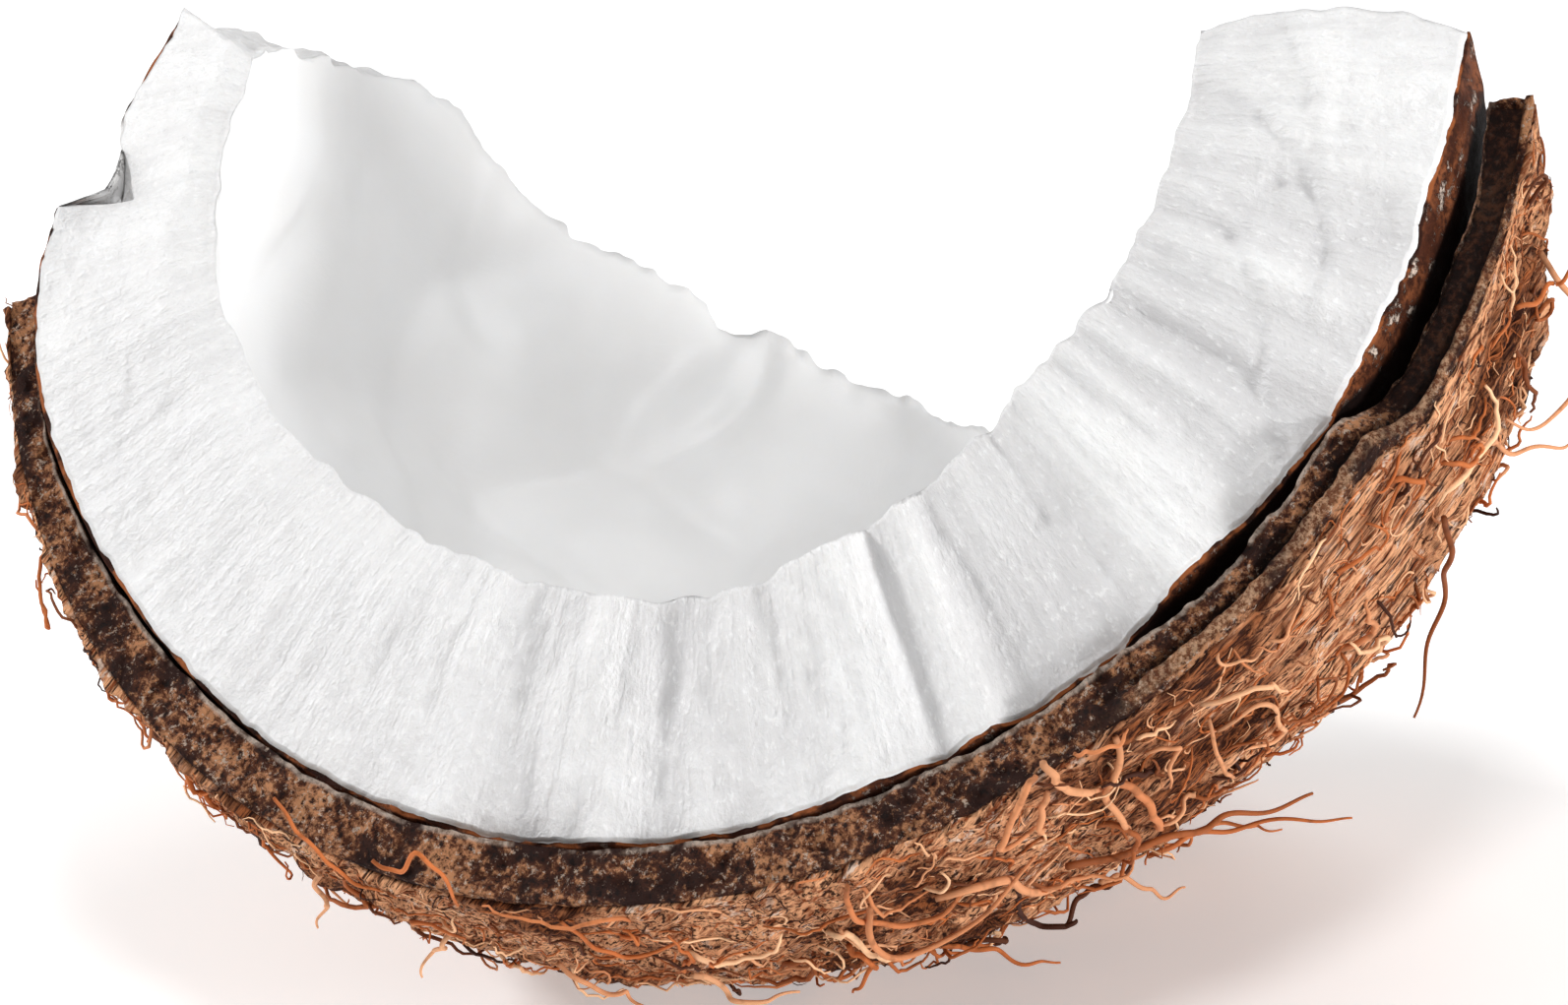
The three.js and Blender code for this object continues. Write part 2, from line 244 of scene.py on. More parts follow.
class Finish:
    """One material, built from nodes."""

    def __init__(self, name, **constants):
        self.material = bpy.data.materials.new(name)
        self.material.use_nodes = True
        self.tree = self.material.node_tree
        self.shader = self.tree.nodes["Principled BSDF"]
        for socket, value in constants.items():
            self.shader.inputs[socket.replace("_", " ")].default_value = value

    def plug(self, value, socket):
        if isinstance(value, Wire):
            self.tree.links.new(value.socket, socket)
        elif socket.type == "RGBA" and len(value) == 3:
            socket.default_value = (*value, 1)
        else:
            socket.default_value = value

    def node(self, kind, settings=None, sockets=None, output=0):
        made = self.tree.nodes.new(kind)
        for name, value in (settings or {}).items():
            setattr(made, name, value)
        for name, value in (sockets or {}).items():
            self.plug(value, made.inputs[name])
        return Wire(self, made.outputs[output])

    def number(self, name):
        """A number that the mesh carries at each point."""
        return self.node("ShaderNodeAttribute", {"attribute_name": name}, output="Fac")

    def place(self, name, stretch=(1, 1, 1)):
        """A position that the mesh carries, in mm, stretched along its axes."""
        carried = self.node("ShaderNodeAttribute", {"attribute_name": name}, output="Vector")
        return self.node("ShaderNodeVectorMath", {"operation": "MULTIPLY"}, {0: carried, 1: stretch})

    def noise(self, place, scale, detail=3, rough=0.55):
        sockets = {"Vector": place, "Scale": scale, "Detail": detail, "Roughness": rough}
        return self.node("ShaderNodeTexNoise", {}, sockets)

    def mix(self, share, first, second):
        settings = {"data_type": "RGBA"}
        return self.node("ShaderNodeMix", settings, {0: share, 6: first, 7: second}, output=2)

    def relief(self, height):
        """Normals from a height in millimetres."""
        return self.node("ShaderNodeBump", {}, {"Strength": 1.0, "Distance": MM, "Height": height})

    def finish(self, **wires):
        for socket, wire in wires.items():
            self.plug(wire, self.shader.inputs[socket.replace("_", " ")])
        return self.material


# %% The floor
FLOOR_REACH = 6
FLOOR_GLOW = 0.34


def make_floor():
    """A pale matt floor with a faint glow, so that shadows on it stay light."""
    floor_finish = Finish("pale_floor", Roughness=0.9, Emission_Strength=FLOOR_GLOW)
    floor_finish.shader.inputs["Emission Color"].default_value = (1, 1, 1, 1)
    mottle = floor_finish.noise(floor_finish.node("ShaderNodeTexCoord", output="Object"), scale=2)
    colour = floor_finish.mix(mottle, (0.93, 0.93, 0.93), (0.95, 0.95, 0.95))
    mesh = bpy.data.meshes.new("floor")
    corners = [(-1, -1), (1, -1), (1, 1), (-1, 1)]
    mesh.from_pydata([(x * FLOOR_REACH, y * FLOOR_REACH, 0) for x, y in corners], [], [(0, 1, 2, 3)])
    mesh.materials.append(floor_finish.finish(Base_Color=colour))
    made = bpy.data.objects.new("floor", mesh)
    bpy.context.scene.collection.objects.link(made)
    return made


floor = make_floor()

# %% [markdown]
# ## Noise that never changes
#
# Broken and grown surfaces are uneven at every scale. The unevenness comes from a smooth noise of
# our own: a number is worked out for each corner of a lattice from its coordinates alone, and the
# corners are blended. It draws no random numbers, so every run makes the same surface.

# %% Smooth noise
PRIMES = (73856093, 19349663, 83492791)


def corner_value(cell, seed):
    key = sum(cell[..., k] * PRIMES[k] for k in range(3)) + seed * 2654435
    key = (key ^ (key >> 13)) * 1274126177 & 0xFFFFFFFF
    key = (key ^ (key >> 16)) * 2246822519 & 0xFFFFFFFF
    return (key ^ (key >> 15)) / 0xFFFFFFFF * 2 - 1


def noise(points, size, seed, octaves=1):
    """Smooth numbers from about -1 to 1, in lumps as wide as size."""
    place = np.asarray(points, float) / size
    total, weight = 0, 1
    for octave in range(octaves):
        cell = np.floor(place).astype(np.int64)
        part = place - cell
        part = part * part * part * (part * (part * 6 - 15) + 10)
        for corner in itertools.product((0, 1), repeat=3):
            share = np.prod(np.where(corner, part, 1 - part), axis=-1)
            total = total + weight * share * corner_value(cell + corner, seed + octave)
        place = place * 2.03 + 11.7
        weight *= 0.5
    return total


def line_noise(along, across, size, seed, octaves=1):
    """Noise over two coordinates, such as the way along a ring and the way across it."""
    return noise(np.stack(np.broadcast_arrays(along, across, 0.0), -1), size, seed, octaves)


def smooth(value, low, high):
    t = np.clip((value - low) / (high - low), 0, 1)
    return t * t * (3 - 2 * t)


print("noise at the centre:", round(float(noise((0.5, 0.5, 0.5), 1, 1)), 4))

# %% [markdown]
# ## Surfaces of the layers
#
# Each surface is the distance from the nut's centre along a direction. The nut is an ellipsoid, and
# every layer inside it is a little smaller. A formula like this can be asked about any direction,
# so a surface may be sampled as finely as its piece needs.

# %% Ellipsoids and bumps
def ellipsoid(semi_pole, semi_side, shift=0.0):
    def distance(d):
        a = (d[..., 0] / semi_pole) ** 2 + (d[..., 1] ** 2 + d[..., 2] ** 2) / semi_side**2
        b = d[..., 1] * shift / semi_side**2
        c = (shift / semi_side) ** 2 - 1
        return (b + np.sqrt(b * b - a * c)) / a

    return distance


def angle_to(d, at):
    at = np.array(at, float)
    return np.arccos(np.clip(d @ (at / np.linalg.norm(at)), -1, 1))


def bumps(listed, d):
    return sum(out * np.exp(-((angle_to(d, at) / spread) ** 2)) for at, out, spread in listed)


nut = ellipsoid(NUT_LENGTH / 2, NUT_WIDTH / 2)
inset = SHELL_THICKNESS + SKIN_THICKNESS + 2 * CLEARANCE
hollow_semi_pole = NUT_LENGTH / 2 - inset - MEAT_AT_POLE
hollow_semi_side = NUT_WIDTH / 2 - inset - MEAT_AT_SIDE
round_hollow = ellipsoid(hollow_semi_pole, hollow_semi_side, HOLLOW_SHIFT)


def shell_outer(d):
    return nut(d) + bumps(SHELL_BUMPS, d)


def mat_outer(d):
    whole = smooth(-d[..., 2], MAT_THICKENS_FROM, MAT_WHOLE_AT)
    return shell_outer(d) + CLEARANCE + MAT_AT_EDGE + (MAT_THICKNESS - MAT_AT_EDGE) * whole


def shell_inner(d):
    return shell_outer(d) - SHELL_THICKNESS + bumps(MEAT_BUMPS, d)


def skin_outer(d):
    return shell_inner(d) - CLEARANCE - bumps(LOOSE_GAPS, d)


def hollow(d):
    return round_hollow(d) + bumps(HOLLOW_BUMPS, d)

# %% [markdown]
# ## Breaks
#
# A layer ends where the nut broke. The front break is a ring at a height above the centre, and the
# back break is a smooth line through a few chosen directions. Both are lines of directions, so the
# same break cuts every layer at its own radius.

# %% Directions along the two breaks
HEIGHT_PASSES = 8


def ring_angles(start, end, shares):
    return start + (end + 360 - start) * shares


def unit(v):
    return v / np.linalg.norm(v, axis=-1, keepdims=True)


def front_directions(surface, angles, heights):
    flat = np.stack([np.cos(np.radians(angles)), np.sin(np.radians(angles)), np.zeros_like(angles)], -1)
    d = flat.copy()
    for _ in range(HEIGHT_PASSES):
        reach = np.sqrt(surface(d) ** 2 - heights**2)
        d = flat * reach[..., None]
        d[..., 2] = heights
        d = unit(d)
    return d


def lean_direction(turn, lean):
    t, n = math.radians(turn), math.radians(lean)
    return np.array([math.sin(n), math.cos(n) * math.cos(t), math.cos(n) * math.sin(t)])


def curve_through(points, shares):
    """A smooth line through points, with knots spaced by the root of the gaps between them."""
    points = np.array(points, float)
    points = np.vstack([2 * points[0] - points[1], points, 2 * points[-1] - points[-2]])
    position = shares * (len(points) - 3)
    first = np.minimum(np.floor(position).astype(int), len(points) - 4)
    t = (position - first)[:, None]
    p0, p1, p2, p3 = (points[first + k] for k in range(4))
    pairs = ((p0, p1), (p1, p2), (p2, p3))
    g0, g1, g2 = (np.sqrt(np.linalg.norm(b - a, axis=1))[:, None] for a, b in pairs)
    leave = ((p1 - p0) / g0 - (p2 - p0) / (g0 + g1) + (p2 - p1) / g1) * g1
    arrive = ((p2 - p1) / g1 - (p3 - p1) / (g1 + g2) + (p3 - p2) / g2) * g1
    bend = -3 * p1 + 3 * p2 - 2 * leave - arrive
    return p1 + leave * t + bend * t**2 + (2 * p1 - 2 * p2 + leave + arrive) * t**3


def slerp(a, b, t):
    angle = np.arccos(np.clip((a * b).sum(-1, keepdims=True), -1, 1))
    safe = np.maximum(angle, 1e-6)
    return unit((np.sin((1 - t) * safe) * a + np.sin(t * safe) * b) / np.sin(safe))


def meat_height(angle, blend=CHIP_BLEND):
    proud = PROUD * (1 - smooth(angle, SHELL_START, PROUD_UNTIL))
    chip = CHIP_DROP * (1 - smooth(angle, CHIP_AT - blend, CHIP_AT + blend))
    return FRONT_HEIGHT + proud - chip


def inner_meat_height(angle):
    """The chip's step is sharp at the skin, and has faded to a slope at the hollow."""
    return meat_height(angle, INNER_CHIP_BLEND)


def shell_height(angle):
    return FRONT_HEIGHT - SHELL_RECESS * smooth(angle - 360, RECESS_FROM, RECESS_FULL)


# %% [markdown]
# ## One layer as a closed slab
#
# A layer is a slab with four faces: the front break, the outside, the back break and the inside. At
# each step along the ring the four faces make one closed loop, and the loops are joined by
# four-sided faces. At the two tips a loop shrinks to a line, and merging its points closes the slab.
# Every point also remembers where it lies, so that its relief and its finish can follow the piece.

# %% Building a slab
MERGE_WITHIN = 2e-7
TIP_WIDTH = 5
BACK, INSIDE, OUTSIDE, FRONT = 0, 1, 2, 3


class Slab:
    """Grid of points around one layer: positions in the nut, and where each point lies."""

    def __init__(self, inside, outside, start, end, height, rise, stops, steps):
        ring, wall, out, inner = steps
        surfaces = (inside, outside)
        height = height if isinstance(height, tuple) else (height, height)
        shares = np.linspace(0, 1, ring + 1)
        fronts, backs = [], []
        for side in (0, 1):
            angles = ring_angles(start[side], end[side], shares)
            heights = height[side](angles) + (rise if side == 0 else 0)
            fronts.append(front_directions(surfaces[side], angles, heights))
            backs.append(unit(curve_through([fronts[side][0], *stops, fronts[side][-1]], shares)))

        def over(side, spans):
            d = slerp(fronts[side][:, None], backs[side][:, None], spans[None, :, None])
            return d * surfaces[side](d)[..., None]

        def wall_points(span, depths):
            ends = [over(side, np.array([span])) for side in (0, 1)]
            return ends[0] * (1 - depths[None, :, None]) + ends[1] * depths[None, :, None]

        walls = np.arange(wall) / wall
        outs = np.arange(out) / out
        inners = np.arange(inner) / inner
        parts = [
            (wall_points(0.0, walls), walls, 0 * walls, FRONT),
            (over(1, outs), 1 + 0 * outs, outs, OUTSIDE),
            (wall_points(1.0, 1 - walls), 1 - walls, 1 + 0 * walls, BACK),
            (over(0, 1 - inners), 0 * inners, 1 - inners, INSIDE),
        ]
        self.points = np.concatenate([p[0] for p in parts], axis=1)
        shape = self.points.shape[:2]
        self.depth = np.broadcast_to(np.concatenate([p[1] for p in parts]), shape)
        self.span = np.broadcast_to(np.concatenate([p[2] for p in parts]), shape)
        self.face = np.broadcast_to(np.concatenate([np.full(len(p[1]), p[3]) for p in parts]), shape)
        self.share = np.broadcast_to(shares[:, None], shape)
        self.angle = np.broadcast_to(ring_angles(start[1], end[1], shares)[:, None], shape)
        self.steps = steps

    def outward(self):
        """Direction from the nut's centre."""
        return unit(self.points)

    def front_top(self):
        """Height of the front break at the same place across the wall, for every point."""
        _, wall, out, _ = self.steps
        heights = self.points[..., 2]
        top = np.repeat(heights[:, :1], heights.shape[1], axis=1)
        top[:, : wall + 1] = heights[:, : wall + 1]
        top[:, wall : wall + out] = heights[:, wall : wall + 1]
        top[:, wall + out : 2 * wall + out] = heights[:, wall:0:-1]
        return top

    def tips(self):
        """0 at the two tips, and 1 where the slab is wide."""
        _, wall, out, _ = self.steps
        width = np.linalg.norm(self.points[:, wall] - self.points[:, wall + out], axis=-1)
        return smooth(width, 0, TIP_WIDTH)[:, None]


def seal_tips(slab, points):
    """Makes each tip's loop one line, so that it closes when its points merge."""
    _, wall, out, inner = slab.steps
    sealed = points.copy()
    for tip in (0, -1):
        line = sealed[tip]
        line[wall + 1 : wall + out] = line[wall]
        for k in range(wall + 1):
            line[wall + out + k] = line[wall - k]
        line[2 * wall + out :] = line[0]
    return sealed


def on_table(points):
    """From the nut's millimetres to metres on the table."""
    return points.reshape(-1, 3) @ TO_TABLE_ROWS[:3, :3].T + TO_TABLE_ROWS[:3, 3]


def carry_number(mesh, name, values):
    """Lets every point of a mesh carry a number for the finishes."""
    layer = mesh.attributes.new(name, "FLOAT", "POINT")
    layer.data.foreach_set("value", values.astype(np.float32).ravel())


def placed(name, mesh, finish):
    mesh.shade_smooth()
    mesh.materials.append(finish)
    made = bpy.data.objects.new(name, mesh)
    bpy.context.scene.collection.objects.link(made)
    return made


def triangle_count(mesh):
    return sum(len(p.vertices) - 2 for p in mesh.polygons)


def slab_object(name, slab, points, numbers, places, finish):
    """A Blender object from a slab's grid of points, given in the nut's millimetres."""
    points = seal_tips(slab, points)
    rows, columns = points.shape[:2]
    i, j = np.meshgrid(np.arange(rows - 1), np.arange(columns), indexing="ij")
    k = (j + 1) % columns
    faces = np.stack([i * columns + j, i * columns + k, (i + 1) * columns + k, (i + 1) * columns + j], -1)
    mesh = bpy.data.meshes.new(name)
    mesh.from_pydata(on_table(points).tolist(), [], faces.reshape(-1, 4).tolist())
    for key, values in numbers.items():
        carry_number(mesh, key, np.broadcast_to(values, slab.depth.shape))
    for key, values in places.items():
        layer = mesh.attributes.new(key, "FLOAT_VECTOR", "POINT")
        layer.data.foreach_set("vector", values.astype(np.float32).ravel())
    grid = bmesh.new()
    grid.from_mesh(mesh)
    bmesh.ops.remove_doubles(grid, verts=grid.verts, dist=MERGE_WITHIN)
    bmesh.ops.recalc_face_normals(grid, faces=grid.faces)
    open_edges = sum(len(edge.link_faces) != 2 for edge in grid.edges)
    grid.to_mesh(mesh)
    grid.free()
    print(f"{name}: {triangle_count(mesh)} triangles, {open_edges} open edges")
    return placed(name, mesh, finish)


# %% [markdown]
# ## Where a point lies, for relief and finish
#
# Flutes and streaks on a break run straight out from the nut's centre. So every point carries how
# far it is along the ring, in millimetres of arc, and how far it is across the wall. Relief and
# finish that are stretched across the wall then look like a break, whatever the piece's shape.

# %% Coordinates along and across the ring
RING_RADIUS = 45


def ring_places(slab, points):
    """Millimetres along the ring, distance from the ring's axis, and height."""
    turn = np.unwrap(np.arctan2(points[..., 1], points[..., 0]), axis=0)
    turn = np.where(turn < 0, turn + 2 * np.pi, turn)
    return np.stack([turn * RING_RADIUS, np.hypot(points[..., 0], points[..., 1]), points[..., 2]], -1)


def back_stops(listed):
    return [lean_direction(turn, lean) for turn, lean in listed]


# %% [markdown]
# ## The meat
#
# Fresh coconut meat breaks like firm cheese. The break has broad flutes that run from the hollow to
# the skin, fine lines between them, and curved steps where the crack paused. The hollow is smooth
# and slightly lobed. All of it is real relief in the mesh; only grains finer than the mesh are left
# to the finish, which also paints shade into the flutes' valleys and the hollow's creases, and paints
# glints onto the break. Sculpting it by hand would look as good, but a formula repeats and can be tuned.

# %% Lobes of the hollow
LOBES = [
    ((-0.57, 0.80, -0.15), 0.40, 4.4),
    ((-0.27, 0.85, -0.46), 0.33, 3.6),
    ((-0.28, 0.50, -0.82), 0.32, 3.4),
    ((-0.56, 0.50, -0.66), 0.26, 4.4),
    ((-0.86, 0.42, -0.30), 0.30, 3.6),
    ((-0.72, 0.12, -0.68), 0.30, 3.6),
    ((-0.36, 0.14, -0.92), 0.30, 4.0),
    ((-0.45, -0.40, -0.80), 0.38, 3.7),
    ((0.15, -0.20, -0.95), 0.40, 3.6),
    ((-0.02, 0.72, -0.68), 0.28, 3.0),
]
LOBE_SHARPNESS = 9
LOBES_START = 2.6
FOLD_DEPTH = 0.55


def lobes(d):
    """Soft swellings into the hollow that meet in shallow creases."""
    heights = [out * np.exp(-((angle_to(d, at) / spread) ** 2)) for at, spread, out in LOBES]
    return sum(h**LOBE_SHARPNESS for h in heights) ** (1 / LOBE_SHARPNESS)


def fine_hollow(d):
    uneven = 0.5 * noise(d, 0.35, 31) + 0.22 * noise(d, 0.13, 32, 2)
    rim = 0.3 * line_noise(np.arctan2(d[..., 1], d[..., 0]) * RING_RADIUS, d[..., 2] * 4, 2.4, 33, 2)
    deep = 1 - smooth(d[..., 2], -0.05, 0.2)
    folds = np.exp(-((noise(d * (1, 1, 1.8), 0.42, 34) * 5) ** 2)) * FOLD_DEPTH
    return hollow(d) + (LOBES_START - lobes(d) + uneven + folds) * deep + rim * (1 - deep)


SKIN_AT_EDGE = 0.16
UNDER_SKIN = 0.05
NOTCH, NOTCH_FROM, NOTCH_TO = 2.6, 119, 129


def notch(d):
    """Where a flake has broken off the outside next to the chip."""
    angle = np.degrees(np.arctan2(d[..., 1], d[..., 0]))
    cliff = NOTCH_TO - 0.5
    within = smooth(angle, NOTCH_FROM, cliff) * (1 - smooth(angle, cliff, NOTCH_TO + 0.7))
    return NOTCH * within * smooth(d[..., 2], -0.24, -0.08)


def fine_meat_outer(d):
    at_edge = smooth(d[..., 2], -0.1, 0.02)
    ragged = 0.12 * noise(d * RING_RADIUS, 1.1, 41, 3) * at_edge
    covered = SKIN_THICKNESS - SKIN_AT_EDGE
    return skin_outer(d) - SKIN_THICKNESS - UNDER_SKIN + covered * at_edge + ragged - notch(d)


# %% Relief of the front break
FLUTES_FROM, FLUTES_FULL = 165, 215
FLUTES_FADE, FLUTES_END = 278, 305
RELIEF_DEPTH = 1.6
BROAD_FROM, BROAD_FULL = 268, 290
SCAR_FADES_OVER = 4.5

# Curved steps on the broad end: centre, radius, middle direction and half width in degrees, height.
SCARS = [
    ((6.0, -28.5), 11.5, -20, 55, 0.55),
    ((0.5, -30.0), 10.0, -25, 60, 0.45),
    ((10.0, -22.0), 14.0, -35, 40, 0.35),
    ((-8.0, -36.0), 12.0, -5, 45, 0.35),
]


def front_relief(x, y):
    """Height of the front break over its plain shape, in mm, at a place on it."""
    turn = np.arctan2(y, x)
    turn = np.where(turn < 0, turn + 2 * np.pi, turn)
    degrees = np.degrees(turn)
    along = turn * RING_RADIUS
    radius = np.hypot(x, y)
    fluted = smooth(degrees, FLUTES_FROM, FLUTES_FULL) * (1 - smooth(degrees, FLUTES_FADE, FLUTES_END))
    flutes = 1.3 * line_noise(along, radius * 0.12, 6.0, 51)
    flutes = flutes + 0.5 * line_noise(along, radius * 0.15, 2.6, 52)
    creases = np.exp(-((line_noise(along, radius * 0.1, 7.5, 58) * 5.5) ** 2))
    flutes = flutes - 0.4 * creases
    lines = 0.14 * line_noise(along, radius * 0.2, 1.0, 53, 2)
    place = np.stack([x, y, 0 * x], -1)
    waves = 0.45 * noise(place, 12, 54) + 0.22 * noise(place, 5, 55)
    crumbs = 0.10 * noise(place, 1.3, 56, 3)
    height = flutes * (0.25 + 0.75 * fluted) + lines * (0.4 + 0.6 * fluted) + waves + crumbs
    broad = smooth(degrees, BROAD_FROM, BROAD_FULL)
    height = height + broad * (0.3 * noise(place, 3.2, 57, 2))
    for (cx, cy), size, middle, half, step in SCARS:
        away = np.hypot(x - cx, y - cy) - size
        heading = np.degrees(np.arctan2(y - cy, x - cx)) - middle
        heading = (heading + 180) % 360 - 180
        held = np.exp(-((heading / half) ** 4)) * np.exp(-np.maximum(away, 0) / SCAR_FADES_OVER)
        height = height + step * held * smooth(away, -0.5, 0.5)
    return height


RIDGE_WORN, RIDGE_WIDTH = 1.0, 0.34
WORN_UNTIL, CRISP_FROM = 168, 215


def worn_ridge(slab):
    """How far the ridge beside the hollow is rounded down; it is crisp along the flutes."""
    worn = 0.25 + 0.75 * (1 - smooth(slab.angle, WORN_UNTIL, CRISP_FROM))
    return RIDGE_WORN * worn * (1 - smooth(slab.depth, 0, RIDGE_WIDTH)) ** 1.5


def raised(slab, points, relief):
    """Moves the front break, and what lies just behind its edges, up and down."""
    held = 1 - smooth(slab.front_top() - points[..., 2], 0, RELIEF_DEPTH)
    moved = points.copy()
    moved[..., 2] += relief * held
    return moved


def with_front_relief(slab, points):
    return raised(slab, points, front_relief(points[..., 0], points[..., 1]))


def with_worn_ridge(slab, points):
    held = 1 - smooth(slab.front_top() - slab.points[..., 2], 0, 2 * RELIEF_DEPTH)
    moved = points.copy()
    moved[..., 2] -= worn_ridge(slab) * held
    return moved


def back_way(slab):
    """The way the back break faces, from the edge of the outside away from the front break."""
    _, wall, out, _ = slab.steps
    along_span = slab.points[:, wall + out] - slab.points[:, wall + out - 1]
    length = np.maximum(np.linalg.norm(along_span, axis=-1, keepdims=True), 1e-6)
    way = along_span / length
    way[0], way[-1] = way[1], way[-2]
    return way[:, None, :]


def with_back_relief(slab, points, amount, size, seed):
    """Roughens the back break, which faces away from the ring."""
    towards = 1 - smooth(1 - slab.span, 0, 0.05)
    held = np.where(slab.face == BACK, 1, np.where(slab.face == FRONT, 0, towards))
    bump = noise(points, size, seed, 3) * held * slab.tips()
    return points + back_way(slab) * (amount * bump)[..., None]


# %% The meat's finish
def meat_finish():
    f = Finish("coconut_meat_white", Subsurface_Weight=0.18, Subsurface_Scale=0.0007, IOR=1.42)
    f.shader.inputs["Subsurface Radius"].default_value = (1.0, 0.9, 0.8)
    broken = f.number("front")
    streaks = f.noise(f.place("ring", (1.1, 0.09, 0.09)), 1.0, 2)
    grain = f.noise(f.place("ring", (2.6, 1.5, 1.5)), 1.0, 4, 0.65)
    cloud = f.noise(f.place("nut"), 0.09, 2)
    white = f.mix(cloud.ramp(0.35, 0.7), (0.90, 0.895, 0.89), (0.94, 0.94, 0.94))
    white = f.mix(broken * (1 - streaks.ramp(0.34, 0.56)) * 0.5, white, (0.80, 0.795, 0.795))
    white = f.mix(broken * (1 - grain.ramp(0.34, 0.48)) * 0.35, white, (0.78, 0.775, 0.775))
    # Painted shade: darker in the valleys of the break's flutes and in the creases between the hollow's
    # lobes.
    white = f.mix(f.number("valley_shade") * (0.15 + broken * 0.75), white, (0.70, 0.69, 0.695))
    # Painted highlight: small white specks on the break stand in for glints of light.
    white = f.mix(broken * grain.ramp(0.54, 0.70) * 0.6, white, (0.97, 0.97, 0.97))
    near_skin = f.number("depth").ramp(0.98, 1.0) * broken
    tinted = f.mix(near_skin * grain.ramp(0.45, 0.62) * 0.5, white, (0.62, 0.43, 0.28))
    height = broken * (streaks * 0.22 + grain * 0.20) + (1 - broken) * grain * 0.02
    rough = 0.36 + broken * (grain - 0.5) * 0.5
    return f.finish(Base_Color=tinted, Roughness=rough, Normal=f.relief(height))


# %% Making the meat
LOBE_RIDGE, LOBE_RANGE = 3.6, 2.2
WIDE_END_FROM, WIDE_END_BULGE = 0.955, 1.1

meat_slab = Slab(
    inside=fine_hollow,
    outside=fine_meat_outer,
    start=(HOLLOW_START, MEAT_START),
    end=(HOLLOW_END, MEAT_END),
    height=(inner_meat_height, meat_height),
    rise=FRONT_RISE,
    stops=back_stops(BACK_BREAK),
    steps=(420, 52, 24, 64),
)


def with_broken_ends(slab, points):
    """Lets the chip's step fade across the wall, and rounds the wide end outward."""
    angle, depth = slab.angle, slab.depth
    moved = points.copy()
    step = meat_height(angle) - inner_meat_height(angle)
    moved[..., 2] += np.where(slab.face == FRONT, step * (depth**4 - depth), 0)
    radial = unit(points * (1, 1, 0))
    onward = np.stack([-radial[..., 1], radial[..., 0], 0 * depth], -1)
    bulge = WIDE_END_BULGE * 4 * depth * (1 - depth) + 0.35 * noise(points, 2.5, 59, 2)
    return moved + onward * (bulge * smooth(slab.share, WIDE_END_FROM, 1.0))[..., None]


meat_points = with_broken_ends(meat_slab, meat_slab.points)
meat_points = with_front_relief(meat_slab, with_worn_ridge(meat_slab, meat_points))
meat_points = with_back_relief(meat_slab, meat_points, 0.8, 3.0, 61)
front_share = np.where(meat_slab.face == FRONT, 1.0, np.where(meat_slab.face == BACK, 0.9, 0.0))
# Painted shade for the finish: larger in the low places of the break's relief and in the creases between
# the hollow's lobes.
broken_valley_shade = 0.45 - 0.5 * front_relief(meat_points[..., 0], meat_points[..., 1])
hollow_crease_shade = (LOBE_RIDGE - lobes(meat_slab.outward())) / LOBE_RANGE
valley_shade = np.clip(np.where(meat_slab.face == INSIDE, hollow_crease_shade, broken_valley_shade), 0, 1)
meat = slab_object(
    "coconut_meat_fine",
    meat_slab,
    meat_points,
    numbers={"front": front_share, "depth": meat_slab.depth, "valley_shade": valley_shade},
    places={"nut": meat_points, "ring": ring_places(meat_slab, meat_points)},
    finish=meat_finish(),
)
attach(meat, "root")
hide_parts("coconut_meat")
meat_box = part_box("coconut_meat")
print("fixed meat, lowest and highest corner, mm:", [[round(v / MM, 1) for v in c] for c in meat_box])
print("fine meat, the same:", (np.array(meat.bound_box)[[0, 6]] / MM).round(1).tolist())

# %% [markdown]
# ## The brown skin
#
# The skin grows on the meat and breaks with it. It is thin and brown, and where the shell has
# broken away its outside shows, with pale crumbs of shell lining on it. It is a slab like the meat,
# but its inside is the meat's own outside, so no light shows between them. Deep in the gap to the
# shell it is painted nearly black as shade, and where a flake has gone beside the chip it is as white as
# the meat.

# %% The skin's finish
def skin_finish():
    f = Finish("brown_skin_dry", Specular_IOR_Level=0.15)
    fibres = f.noise(f.place("nut", (1, 1, 0.6)), 1.3, 5, 0.7)
    cracks = f.noise(f.place("nut", (1, 1, 0.7)), 0.8, 6, 0.75)
    patch = f.noise(f.place("nut"), 0.35, 3)
    brown = f.mix(patch.ramp(0.35, 0.65), (0.07, 0.018, 0.007), (0.24, 0.075, 0.028))
    brown = f.mix(fibres.ramp(0.42, 0.6), brown, (0.045, 0.012, 0.005))
    pale = cracks.ramp(0.55, 0.62)
    colour = f.mix(pale * (0.3 + f.number("shown") * 0.6), brown, (0.74, 0.60, 0.50))
    edge = f.number("front")
    rust = f.mix(patch.ramp(0.45, 0.55), (0.03, 0.007, 0.003), (0.34, 0.10, 0.03))
    colour = f.mix(edge * 0.9, colour, rust)
    # Painted shade: nearly black deep in the gap between the skin and the shell.
    colour = f.mix(f.number("painted_gap_shade"), colour, (0.010, 0.003, 0.002))
    colour = f.mix(f.number("bare"), colour, (0.88, 0.87, 0.86))
    height = fibres * 0.3 + pale * 0.25
    return f.finish(Base_Color=colour, Roughness=0.62 + fibres * 0.2, Normal=f.relief(height))


# %% Making the skin
GAP_FROM, GAP_FULL, GAP_FADE, GAP_END = 222, 240, 300, 305
SKIN_OVERLAP = 0.02


def fine_skin_outer(d):
    return skin_outer(d) + 0.10 * noise(d * RING_RADIUS, 2.2, 71, 2) - notch(d)


